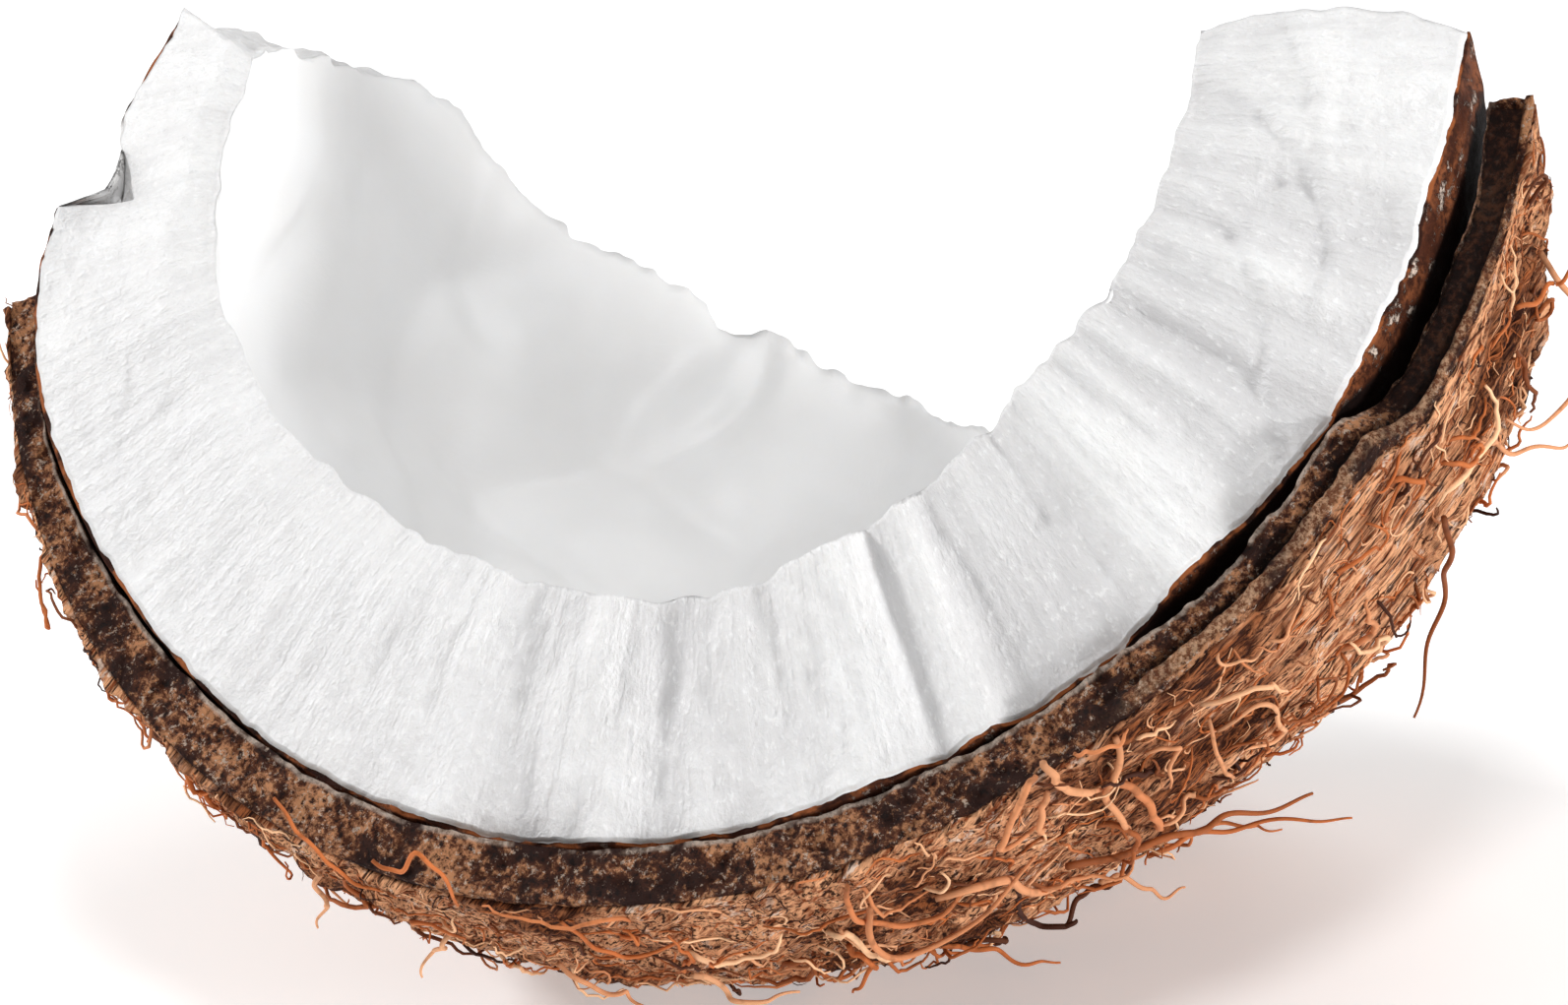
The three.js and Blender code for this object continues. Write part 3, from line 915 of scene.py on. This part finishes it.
skin_slab = Slab(
    inside=lambda d: fine_meat_outer(d) - SKIN_OVERLAP,
    outside=fine_skin_outer,
    start=(MEAT_START, MEAT_START),
    end=(MEAT_END, MEAT_END),
    height=lambda angle: meat_height(angle) - EDGE_STEP + 0.12 * line_noise(angle, 0.0, 0.8, 72, 3),
    rise=0.15,
    stops=back_stops(BACK_BREAK),
    steps=(420, 4, 60, 20),
)
skin_points = with_front_relief(skin_slab, skin_slab.points)
below_shell = shell_height(skin_slab.angle) - skin_points[..., 2]
# Painted shade: where a point lies deep in the gap below the shell, which the skin's finish colours nearly
# black.
in_gap = smooth(below_shell, -0.4, 1.0) * (1 - smooth(below_shell, 5, 8))
gap_begins = smooth(skin_slab.angle, GAP_FROM, GAP_FULL)
along_gap = gap_begins * (1 - smooth(skin_slab.angle, GAP_FADE, GAP_END))
facing_shell = np.where(skin_slab.face == OUTSIDE, 1.0, 0.0)
skin = slab_object(
    "brown_skin_fine",
    skin_slab,
    skin_points,
    numbers={
        "front": np.where(skin_slab.face == FRONT, 1.0, 0.0),
        "painted_gap_shade": in_gap * along_gap * facing_shell,
        "shown": (1 - smooth(below_shell, -1, 4)) * along_gap,
        "bare": smooth(notch(unit(skin_slab.points)), 0.04, 0.4),
    },
    places={"nut": skin_points},
    finish=skin_finish(),
)
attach(skin, "root")
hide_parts("brown_skin")

# %% [markdown]
# ## The hard shell
#
# The shell breaks like dry, hard wood: its edge is granular, dark in some stretches and tan in
# others, and specked with paler grains, and its low pits are painted nearly black as shade. Its inner
# face is lined with a pale film. On the long side a lip stands up behind a crack that is painted black
# as shade, where the outer part of the wall has split from the inner one. Further on the wall is
# lower, smooth and painted nearly black as shade, and its inner edge has crumbled away, which leaves
# the gap that meat and shell part along.

# %% Relief of the shell's edge
LIP_FROM, LIP_FULL, LIP_FADE, LIP_END = 244, 256, 286, 300
CHANNEL_FROM, CHANNEL_FULL = 276, 283
CRACK_AT = 0.55


def along_lip(degrees):
    return smooth(degrees, LIP_FROM, LIP_FULL) * (1 - smooth(degrees, LIP_FADE, LIP_END))


def crack_line(degrees, depth, half_width):
    """1 along the crack's wandering middle, and less away from it."""
    middle = CRACK_AT + 0.06 * line_noise(np.radians(degrees) * RING_RADIUS, 0.0, 4, 84)
    return np.exp(-(((depth - middle) / half_width) ** 2))


def shell_marks(slab):
    """Where the edge is a smooth channel or a crack, both painted dark as shade, or a pale lip, from 0 to
    1.
    """
    degrees = slab.angle
    wavering = degrees + 2 * line_noise(np.radians(degrees) * RING_RADIUS, 0.0, 3, 87)
    channel = smooth(wavering, CHANNEL_FROM, CHANNEL_FULL) * (1 - smooth(slab.depth, 0.7, 0.85))
    crack = along_lip(degrees) * crack_line(degrees, slab.depth, 0.10)
    pale = along_lip(degrees) * smooth(slab.depth, 0.66, 0.8)
    on_front = slab.face == FRONT
    return {"channel": channel * on_front, "crack": crack * on_front, "pale_lip": pale * on_front}


def shell_relief(slab, points):
    """Height of the shell's edge over its plain shape, in mm."""
    turn = np.arctan2(points[..., 1], points[..., 0])
    degrees = np.degrees(np.where(turn < 0, turn + 2 * np.pi, turn))
    depth = slab.depth
    crack = crack_line(degrees, depth, 0.09)
    lip = smooth(depth, 0.6, 0.75) * (1 - 0.4 * smooth(depth, 0.85, 1.0))
    grains = 0.26 * noise(points, 0.8, 81, 3) + 0.28 * noise(points, 2.2, 82)
    rolling = 0.35 * line_noise(np.radians(degrees) * RING_RADIUS, depth, 9, 83)
    channel = shell_marks(slab)["channel"]
    height = grains * (1 - 0.7 * channel) + rolling - 0.8 * channel
    return height + along_lip(degrees) * 0.9 * (lip - crack)


# %% The shell's finish
def shell_finish():
    f = Finish("hard_shell_broken", Specular_IOR_Level=0.25)
    grain = f.noise(f.place("nut"), 1.9, 6, 0.72)
    coarse = f.noise(f.place("nut"), 0.3, 3)
    specks = f.noise(f.place("nut"), 2.2, 3, 0.8)
    mixed = grain + (coarse - 0.5) * 0.7
    brown = f.mix(coarse.ramp(0.38, 0.62), (0.040, 0.010, 0.005), (0.20, 0.055, 0.020))
    brown = f.mix(mixed.ramp(0.49, 0.67), brown, (0.86, 0.40, 0.19))
    pale = specks.ramp(0.56, 0.64) * mixed.ramp(0.40, 0.56)
    brown = f.mix(pale * 0.9, brown, (0.90, 0.72, 0.58))
    # Painted shade: nearly black in the low pits of the grain.
    brown = f.mix((1 - grain.ramp(0.39, 0.46)) * 0.9, brown, (0.012, 0.004, 0.003))
    lining = 1 - f.number("depth").ramp(0.05, 0.12)
    broken = f.number("front")
    lip = f.mix(specks.ramp(0.42, 0.58), (0.22, 0.07, 0.028), (0.78, 0.46, 0.27))
    brown = f.mix(f.number("pale_lip") * coarse.ramp(0.3, 0.5) * 0.85, brown, lip)
    # Painted shade: the recessed channel is coloured nearly black.
    painted_channel_shade = f.mix(grain.ramp(0.45, 0.6), (0.010, 0.003, 0.002), (0.050, 0.014, 0.006))
    brown = f.mix(f.number("channel") * 0.95, brown, painted_channel_shade)
    # Painted shade: the crack is coloured nearly black.
    brown = f.mix(f.number("crack"), brown, (0.006, 0.002, 0.001))
    film = f.mix(grain.ramp(0.35, 0.6), (0.40, 0.25, 0.17), (0.86, 0.74, 0.64))
    channel = f.number("channel")
    colour = f.mix(lining * broken * coarse.ramp(0.40, 0.5) * (1 - channel * 3) * 0.8, brown, film)
    calm = 1 - channel * 0.75
    height = (grain * 1.4 + coarse * 0.4 + specks * 0.35) * calm
    return f.finish(Base_Color=colour, Roughness=0.55 + calm * 0.3, Normal=f.relief(height))


# %% Making the shell
CREVICE, CREVICE_FROM, CREVICE_FULL = 0.8, 238, 256
CREVICE_FADE, CREVICE_TO = 317, 335


def crevice(d):
    """How far the shell's inner edge has crumbled away from the skin, which leaves a dark gap."""
    angle = np.degrees(np.arctan2(d[..., 1], d[..., 0])) % 360
    along = np.radians(angle) * RING_RADIUS
    begins = smooth(angle, CREVICE_FROM, CREVICE_FULL)
    within = begins * (1 - smooth(angle, CREVICE_FADE, CREVICE_TO))
    uneven = 0.55 + 0.6 * line_noise(along, 0.0, 7, 88, 2)
    return CREVICE * within * np.clip(uneven, 0, 1) * smooth(d[..., 2], -0.16, -0.03)


def fine_shell_inner(d):
    return shell_inner(d) + 0.12 * noise(d * RING_RADIUS, 1.6, 85, 2) + crevice(d)


shell_slab = Slab(
    inside=fine_shell_inner,
    outside=shell_outer,
    start=(SHELL_START, SHELL_START),
    end=(SHELL_END, SHELL_END),
    height=shell_height,
    rise=0,
    stops=back_stops(SHELL_BACK_BREAK),
    steps=(520, 18, 20, 40),
)
shell_points = raised(shell_slab, shell_slab.points, shell_relief(shell_slab, shell_slab.points))
shell_points = with_back_relief(shell_slab, shell_points, 0.5, 1.6, 86)
shell = slab_object(
    "hard_shell_fine",
    shell_slab,
    shell_points,
    numbers={
        "front": np.where(shell_slab.face == FRONT, 1.0, np.where(shell_slab.face == BACK, 0.8, 0.2)),
        "depth": shell_slab.depth,
        **shell_marks(shell_slab),
    },
    places={"nut": shell_points},
    finish=shell_finish(),
)
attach(shell, "root")
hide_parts("hard_shell")

# %% [markdown]
# ## The mat of husk fibres
#
# After husking, a mat of short coir stays stuck to the shell. Most of it lies flat, along the lines
# from pole to pole, and is pitted and patched with pale pith. The mat itself is a thin slab with
# ridges that run the same way. The single fibres come after it.

# %% The mat's relief and finish
PLAIN_MAT_LOWER, LEAST_MAT = 0.5, 0.12


def mat_uneven(d):
    """Ridges along the nut, pits and tufts, in mm."""
    place = d * RING_RADIUS
    ridges = noise(place * (0.16, 1, 1), 0.9, 91, 3)
    tufts = noise(place * (0.5, 1, 1), 3.2, 92, 2)
    pits = smooth(noise(place * (0.7, 1, 1), 1.7, 93, 2), 0.25, 0.8)
    return 0.38 * ridges + 0.40 * tufts - 0.55 * pits


def fine_mat_outer(d):
    return np.maximum(mat_outer(d) - PLAIN_MAT_LOWER + mat_uneven(d), shell_outer(d) + LEAST_MAT)


def mat_finish():
    f = Finish("husk_mat_coir", Specular_IOR_Level=0.15)
    grain = f.noise(f.place("nut", (0.14, 1, 1)), 1.9, 5, 0.65)
    strands = f.noise(f.place("nut", (0.10, 1, 1)), 4.2, 3, 0.6)
    patch = f.noise(f.place("nut", (0.5, 1, 1)), 0.16, 3)
    spots = f.noise(f.place("nut", (0.6, 1, 1)), 0.9, 4, 0.7)
    tan = f.mix(grain.ramp(0.36, 0.58), (0.28, 0.065, 0.018), (1.0, 0.50, 0.26))
    dark = f.mix(grain.ramp(0.4, 0.6), (0.035, 0.008, 0.003), (0.36, 0.11, 0.036))
    colour = f.mix(patch.ramp(0.36, 0.56), dark, tan)
    colour = f.mix(spots.ramp(0.56, 0.64) * patch.ramp(0.4, 0.6) * 0.9, colour, (0.92, 0.70, 0.56))
    # Painted shade: nearly black in the low gaps between the strands.
    colour = f.mix((1 - strands.ramp(0.38, 0.50)) * 0.95, colour, (0.025, 0.006, 0.003))
    height = grain * 0.9 + strands * 0.45
    return f.finish(Base_Color=colour, Roughness=0.85 + strands * 0.1, Normal=f.relief(height))


# %% Making the mat
FLOOR_GAP = 0.02
MAT_WALL, MAT_OUT = 3, 130

mat_slab = Slab(
    inside=shell_outer,
    outside=fine_mat_outer,
    start=(SHELL_START + MAT_INSET / 2,) * 2,
    end=(SHELL_END - MAT_INSET / 2,) * 2,
    height=lambda angle: shell_height(angle) - EDGE_STEP + 0.25 * line_noise(angle, 0.0, 1.1, 94, 3),
    rise=0,
    stops=back_stops(SHELL_BACK_BREAK),
    steps=(560, MAT_WALL, MAT_OUT, 12),
)
floor_level = -TO_TABLE.translation.z / MM
sunk = np.maximum(floor_level + FLOOR_GAP - mat_slab.points @ np.array(REST_UP), 0)
mat_points = mat_slab.points + sunk[..., None] * np.array(REST_UP)
mat = slab_object(
    "husk_mat_fine",
    mat_slab,
    mat_points,
    numbers={},
    places={"nut": mat_points},
    finish=mat_finish(),
)
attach(mat, "root")
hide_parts("husk_fibre_mat")

# %% [markdown]
# ## Single fibres
#
# Coir fibres are stiff hairs from a tenth to half a millimetre thick. Thousands of them show, most
# lying along the nut and some curling free. Blender's hair would not survive as plain meshes, so
# each fibre is a thin tube along its own route. A route starts on the mat and takes short steps in
# a heading that wanders, at a height over the mat that follows a simple rule.

# %% Tubes along many routes at once
def tube_mesh(name, routes, radii, tints, finish, sides=4):
    """One mesh of many tubes. Routes are (fibres, stops, 3) in the nut's mm, radii (fibres, stops)."""
    count, stops = routes.shape[:2]
    heading = unit(np.gradient(routes, axis=1))
    outward = unit(routes)
    sideways = unit(np.cross(heading, outward))
    upward = np.cross(sideways, heading)
    turns = np.arange(sides) / sides * 2 * np.pi
    rim = sideways[:, :, None] * np.cos(turns)[:, None] + upward[:, :, None] * np.sin(turns)[:, None]
    world = on_table(routes[:, :, None] + rim * radii[:, :, None, None])
    world[:, 2] = np.maximum(world[:, 2], FLOOR_GAP * MM)
    ring = np.arange(sides)
    walls = np.stack([ring, (ring + 1) % sides, (ring + 1) % sides + sides, ring + sides], -1)
    walls = (walls[None] + np.arange(stops - 1)[:, None, None] * sides).reshape(-1, 4)
    one = stops * sides
    quads = (walls[None] + np.arange(count)[:, None, None] * one).reshape(-1, 4)
    starts = np.arange(count)[:, None] * one
    caps = [starts + ring[::-1], starts + (stops - 1) * sides + ring]
    faces = quads.tolist() + caps[0].tolist() + caps[1].tolist()
    mesh = bpy.data.meshes.new(name)
    mesh.from_pydata(world.tolist(), [], faces)
    every = (count, stops, sides)
    carry_number(mesh, "tint", np.broadcast_to(tints[:, None, None], every))
    carry_number(mesh, "along", np.broadcast_to(np.linspace(0, 1, stops)[None, :, None], every))
    add_cells(mesh, count, stops, sides)
    print(f"{name}: {count} fibres, {triangle_count(mesh)} triangles")
    return placed(name, mesh, finish)


def add_cells(mesh, count, stops, sides):
    """Gives every fibre its own small cell of the texture square."""
    across = math.ceil(math.sqrt(count))
    vertex = np.zeros(len(mesh.loops), np.int32)
    mesh.loops.foreach_get("vertex_index", vertex)
    fibre, rest = np.divmod(vertex, stops * sides)
    stop, side = np.divmod(rest, sides)
    loop = np.arange(len(vertex))
    quads = count * (stops - 1) * sides
    closing = (loop < quads * 4) & (loop // 4 % sides == sides - 1) & (side == 0)
    turn = np.where(closing, sides, side)
    u = (fibre % across + 0.1 + 0.8 * stop / (stops - 1)) / across
    v = (fibre // across + 0.1 + 0.8 * turn / sides) / across
    layer = mesh.uv_layers.new(name="OFBake")
    layer.data.foreach_set("uv", np.stack([u, v], -1).astype(np.float32).ravel())


# %% The fibres' finish
def fibre_finish(name, dark, middle, light):
    f = Finish(name, Specular_IOR_Level=0.25)
    tint = f.number("tint")
    along = f.number("along")
    colour = f.mix(tint.ramp(0.0, 0.5), dark, middle)
    colour = f.mix(tint.ramp(0.5, 1.0), colour, light)
    mottle = f.noise(f.node("ShaderNodeTexCoord", output="Object"), 900, 2)
    colour = f.mix(mottle.ramp(0.5, 0.75) * 0.4, colour, dark)
    colour = f.mix((1 - along.ramp(0.0, 0.25)) * 0.35, colour, dark)
    return f.finish(Base_Color=colour, Roughness=0.6 + mottle * 0.25, Normal=f.relief(mottle * 0.05))


COIR = fibre_finish("coir_fibre", (0.035, 0.007, 0.002), (0.56, 0.155, 0.040), (1.0, 0.60, 0.34))

# %% Where fibres may start
outside_columns = slice(MAT_WALL, MAT_WALL + MAT_OUT, 2)
MAT_SAMPLES = unit(mat_slab.points[::3, outside_columns].reshape(-1, 3)) * RING_RADIUS
BORDER = 0.8
LINE_STEPS = 200
shell_ends = np.array([SHELL_START, SHELL_END + 360.0])
first_end, last_end = front_directions(shell_outer, shell_ends, FRONT_HEIGHT - np.array([0, SHELL_RECESS]))
shell_line = curve_through(
    [first_end, *back_stops(SHELL_BACK_BREAK), last_end], np.linspace(0, 1, LINE_STEPS)
)


def scattered(count, random):
    """Directions spread over the mat, between the front break and the back one."""
    shares = random.random(count)
    angles = ring_angles(SHELL_START + 1, SHELL_END - 1, shares)
    front = front_directions(shell_outer, angles, shell_height(angles) - 0.3)
    back = unit(shell_line[(shares * (LINE_STEPS - 1)).astype(int)])
    width = np.arccos(np.clip((front * back).sum(-1), -1, 1))
    kept = random.random(count) < width / width.max()
    spans = random.random(count)
    return slerp(front, back, spans[:, None])[kept]


def over_mat(routes):
    """Which routes stay over the mat at their middle stop and at their last one."""
    tree = KDTree(len(MAT_SAMPLES))
    for index, sample in enumerate(MAT_SAMPLES):
        tree.insert(sample, index)
    tree.balance()
    ends = unit(routes[:, [routes.shape[1] // 2, -1]]) * RING_RADIUS
    return np.array([all(tree.find(spot)[2] < BORDER for spot in pair) for pair in ends])




# %% Routes that wander
def wander(starts, random, step, stops, spread, curl, heights, along_nut=1.0):
    """Routes over the mat. The heading starts along the nut, turned by spread, and keeps turning."""
    count = len(starts)
    d = starts.copy()
    pole = np.array([1.0, 0, 0])
    along = unit(pole - (d @ pole)[:, None] * d)
    across = np.cross(d, along)
    turn = random.normal(0, spread, count) + np.where(random.random(count) < 0.5, 0, np.pi) * along_nut
    bend = random.normal(0, curl, count)
    routes = np.zeros((count, stops, 3))
    for k in range(stops):
        routes[:, k] = d * (fine_mat_outer(d) + heights[:, k])[:, None]
        heading = along * np.cos(turn)[:, None] + across * np.sin(turn)[:, None]
        d = unit(d + heading * (step / RING_RADIUS)[:, None])
        along = unit(along - (along * d).sum(-1, keepdims=True) * d)
        across = np.cross(d, along)
        bend = 0.75 * bend + random.normal(0, curl * 0.6, count)
        turn = turn + bend
    return routes


# %% Fibres that lie on the mat
def lying_fibres(name, seed, count, stops, length, thick, spread, curl, lift):
    """Short fibres that cling to the mat; length, thick and lift in mm."""
    random = np.random.default_rng(seed)
    starts = scattered(count, random)
    count = len(starts)
    step = random.uniform(*length, count) / stops
    share = np.linspace(0, 1, stops)
    rise = random.uniform(0.0, 1.0, count) ** 3 * lift
    waves = 0.06 * np.sin(share * 9 + random.uniform(0, 6, (count, 1)))
    heights = 0.03 + rise[:, None] * share**2 + waves
    routes = wander(starts, random, step, stops, spread, curl, heights)
    taper = (1 - 0.6 * share**3) * (0.5 + 0.5 * smooth(share, 0, 0.15))
    radii = random.uniform(*thick, count)[:, None] * taper
    kept = over_mat(routes)
    made = tube_mesh(name, routes[kept], radii[kept], random.random(count)[kept] ** 1.2, COIR)
    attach(made, "root")


lying_fibres("coir_lying_1", 101, 3800, 7, (0.8, 2.8), (0.025, 0.08), 1.3, 0.40, 0.35)
lying_fibres("coir_lying_2", 102, 900, 12, (2.5, 7), (0.05, 0.12), 1.3, 0.40, 0.7)

# %% [markdown]
# ## Loose curls and the strands that stand out
#
# Hundreds of fibres have sprung free and fill the outline with curls. Some thick ones cling to the
# mat and branch, like roots, and each of those has a route of a few chosen stops. Fifteen long ones
# stand off, and they are pieces of the fixed model too: each fine strand here follows the same
# route, with the bends and the taper of a real fibre.

# %% Curls
def curls(name, seed, count, stops, length, thick, curl, lift):
    """Fibres that rise off the mat and come back to it, or end in the air."""
    random = np.random.default_rng(seed)
    starts = scattered(count, random)
    count = len(starts)
    share = np.linspace(0, 1, stops)
    step = random.uniform(*length, count) / stops
    peak = random.uniform(0.3, 1.0, count)[:, None] * lift
    shape = np.sin(share * random.uniform(1.6, 3.0, (count, 1)))
    heights = -0.1 + peak * np.maximum(shape, 0.0)
    routes = wander(starts, random, step, stops, 1.2, curl, heights, 0.5)
    radii = random.uniform(*thick, count)[:, None] * (1 - 0.55 * share**2)
    kept = over_mat(routes)
    made = tube_mesh(name, routes[kept], radii[kept], random.random(count)[kept], COIR, sides=5)
    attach(made, "root")


curls("coir_curls_1", 111, 700, 14, (2.5, 6), (0.07, 0.16), 0.35, 1.3)
curls("coir_curls_2", 112, 170, 18, (4, 10), (0.12, 0.24), 0.30, 2.0)

# %% The branching net of thick fibres
# Radius in mm, tint from dark to light, and the stops: turn, lean and height over the mat.
NET = [
    (0.28, 0.72, [(173, -28, 0), (175, -28, 0.5), (177, -28, 0.5), (179, -27, 0.5), (182, -26, 0)]),
    (0.22, 0.66, [(174, -29, 0), (174, -30, 0.5), (178, -33, 0.5), (180, -34, 0.5), (181, -31, 0)]),
    (0.22, 0.70, [(177, -29, 0), (178, -30, 0.5), (180, -31, 0.5), (182, -31, 0)]),
    (0.24, 0.70, [(176, -23, 0), (179, -24, 0.5), (182, -26, 0.5), (187, -26, 0.5), (192, -26, 0)]),
    (0.28, 0.62, [(182, -25, 0), (186, -24, 0.5), (190, -24, 0.5), (195, -24, 0)]),
    (0.14, 0.62, [(174, -26, 0), (174, -25, 0.5), (175, -23, 0.5), (176, -22, 0)]),
    (0.30, 0.70, [(186, -40, 0), (186, -37, 0.5), (188, -35, 0.5), (193, -34, 0.5), (202, -30, 0)]),
    (0.20, 0.05, [(194, -35, 0), (208, -34, 0.5), (208, -32, 1.4), (208, -31, 2.3)]),
    (0.18, 0.10, [(208, -32, 1.4), (208, -30, 0.5), (207, -28, 0.5), (207, -26, 0.4)]),
    (0.15, 0.70, [(181, -22, 0), (182, -20, 0.5), (184, -21, 0.5), (188, -22, 0)]),
    (0.18, 0.75, [(186, -17, 0), (187, -13, 0.5), (191, -13, 0.5), (196, -13, 0.5), (193, -16, 0)]),
    (0.15, 0.70, [(183, -17, 0), (188, -18, 0.5), (192, -18, 0.5), (197, -17, 0)]),
    (0.20, 0.60, [(175, -44, 0), (180, -45, 0.5), (188, -44, 0.5), (191, -41, 0.5), (186, -37, 0)]),
    (0.16, 0.70, [(187, -47, 0), (200, -46, 0.5), (209, -47, 0.7)]),
    (0.16, 0.50, [(147, -73, 0), (152, -72, 0.5), (148, -69, 0.5), (155, -69, 0.5), (169, -71, 0)]),
    (0.14, 0.45, [(121, -77, 0), (132, -78, 0.5), (148, -79, 0.5), (163, -79, 0.5), (169, -76, 0)]),
    (0.14, 0.50, [(173, -64, 0), (183, -63, 0.5), (187, -61, 0.5), (183, -57, 0)]),
]
NET_LIFT = 0.3
NET_STOPS, STRAND_STOPS = 30, 40
STRAND_RADIUS_SHARE = 0.26


def route_spots(listed_stops, surface, lift):
    """Points over a surface, from stops of turn, lean and height."""
    spots = []
    for turn, lean, height in listed_stops:
        d = lean_direction(turn, lean)
        spots.append(d * (surface(d) + height + lift))
    return spots


def thick_net(name, listed):
    """One piece of thick fibres that cling to the mat."""
    along_route = np.linspace(0, 1, NET_STOPS)
    random = np.random.default_rng(190)
    routes = []
    for _, _, listed_stops in listed:
        spots = route_spots(listed_stops, fine_mat_outer, NET_LIFT)
        sway = np.stack([0.08 * np.sin(along_route * 23 + a) for a in random.uniform(0, 6, 3)], -1)
        routes.append(curve_through(spots, along_route) + sway)
    taper = 1 - 0.3 * np.abs(2 * along_route - 0.8) ** 3
    radii = np.array([radius for radius, _, _ in listed])[:, None] * taper
    tints = np.array([tint for _, tint, _ in listed])
    made = tube_mesh(name, np.array(routes), radii, tints, COIR, sides=8)
    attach(made, "root")


thick_net("coir_net", NET)

# %% The fifteen named strands
# Thickness of the fixed strand in mm, and the stops, as in the net.
STRANDS = [
    (1.0, [(-168, -31, 0), (-161, -23, 0.5), (-157, -18, 1.4), (-153, -13, 3)]),
    (0.7, [(-155, -25, 0), (-153, -20, 0.8), (-153, -16, 3), (-153, -12, 6)]),
    (0.6, [(-151, -22, 0), (-149, -18, 1.5), (-149, -15, 4)]),
    (0.8, [(-169, 6, 0), (-163, 5, 0.4), (-156, 3.5, 1), (-154, 0, 2.2), (-153, -4, 4)]),
    (0.7, [(-175, 21, 0), (-172, 24, 1.4), (-174, 27, 3.2)]),
    (0.8, [(-173, 26, 0), (-168, 24, 2), (-163, 21, 2.8), (-163, 17, 1.8), (-167, 15, 0.2)]),
    (0.7, [(-171, 12, 0), (-163, 14, 1.2), (-158, 17, 3.5)]),
    (0.7, [(-157, -29, 0), (-152, -26, 1.5), (-149, -23, 3.5)]),
    (0.9, [(-178, -44, 0), (-172, -45, 1.2), (-168, -42, 1.6), (-170, -37, 1), (-174, -33, 0)]),
    (0.8, [(-168, -47, 0), (-163, -46, 1), (-157, -47, 1.6)]),
    (0.7, [(176, -83, 0), (-150, -83, 1), (-125, -81, 2.6)]),
    (0.7, [(-168, -74, 0), (-158, -75, 1), (-147, -75, 2.4)]),
    (0.7, [(-162, -67, 0), (-157, -63, 1.2), (-155, -60, 1.8)]),
    (0.8, [(-162, -58, 0), (-158, -55, 1), (-157, -51, 1.4)]),
    (0.7, [(-158, -41, 0), (-154, -37, 1.6), (-152, -33, 3.2)]),
]


def named_strand(number, thick, listed):
    """One long strand on its fixed strand's route, thinner than it and swaying about it."""
    random = np.random.default_rng(200 + number)
    along_route = np.linspace(0, 1, STRAND_STOPS)
    route = curve_through(route_spots(listed, mat_outer, 0), along_route)
    waves = [
        0.35 * np.sin(along_route * 7 + a) + 0.14 * np.sin(along_route * 17 + b)
        for a, b in random.uniform(0, 6, (3, 2))
    ]
    route = route + np.stack(waves, -1) * smooth(along_route, 0, 0.2)[:, None]
    radii = thick * STRAND_RADIUS_SHARE * (1 - 0.6 * along_route**2)
    tint = np.array([random.uniform(0.2, 0.8)])
    name = f"loose_strand_{number}"
    length = float(np.linalg.norm(np.diff(route, axis=0), axis=1).sum())
    print(name, "is", round(length, 1), "mm long")
    made = tube_mesh(name, route[None], radii[None], tint, COIR, sides=8)
    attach(made, "root")
    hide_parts(f"fibre_strand_{number}")


for strand_number, (strand_thick, strand_stops) in enumerate(STRANDS, start=1):
    named_strand(strand_number, strand_thick, strand_stops)
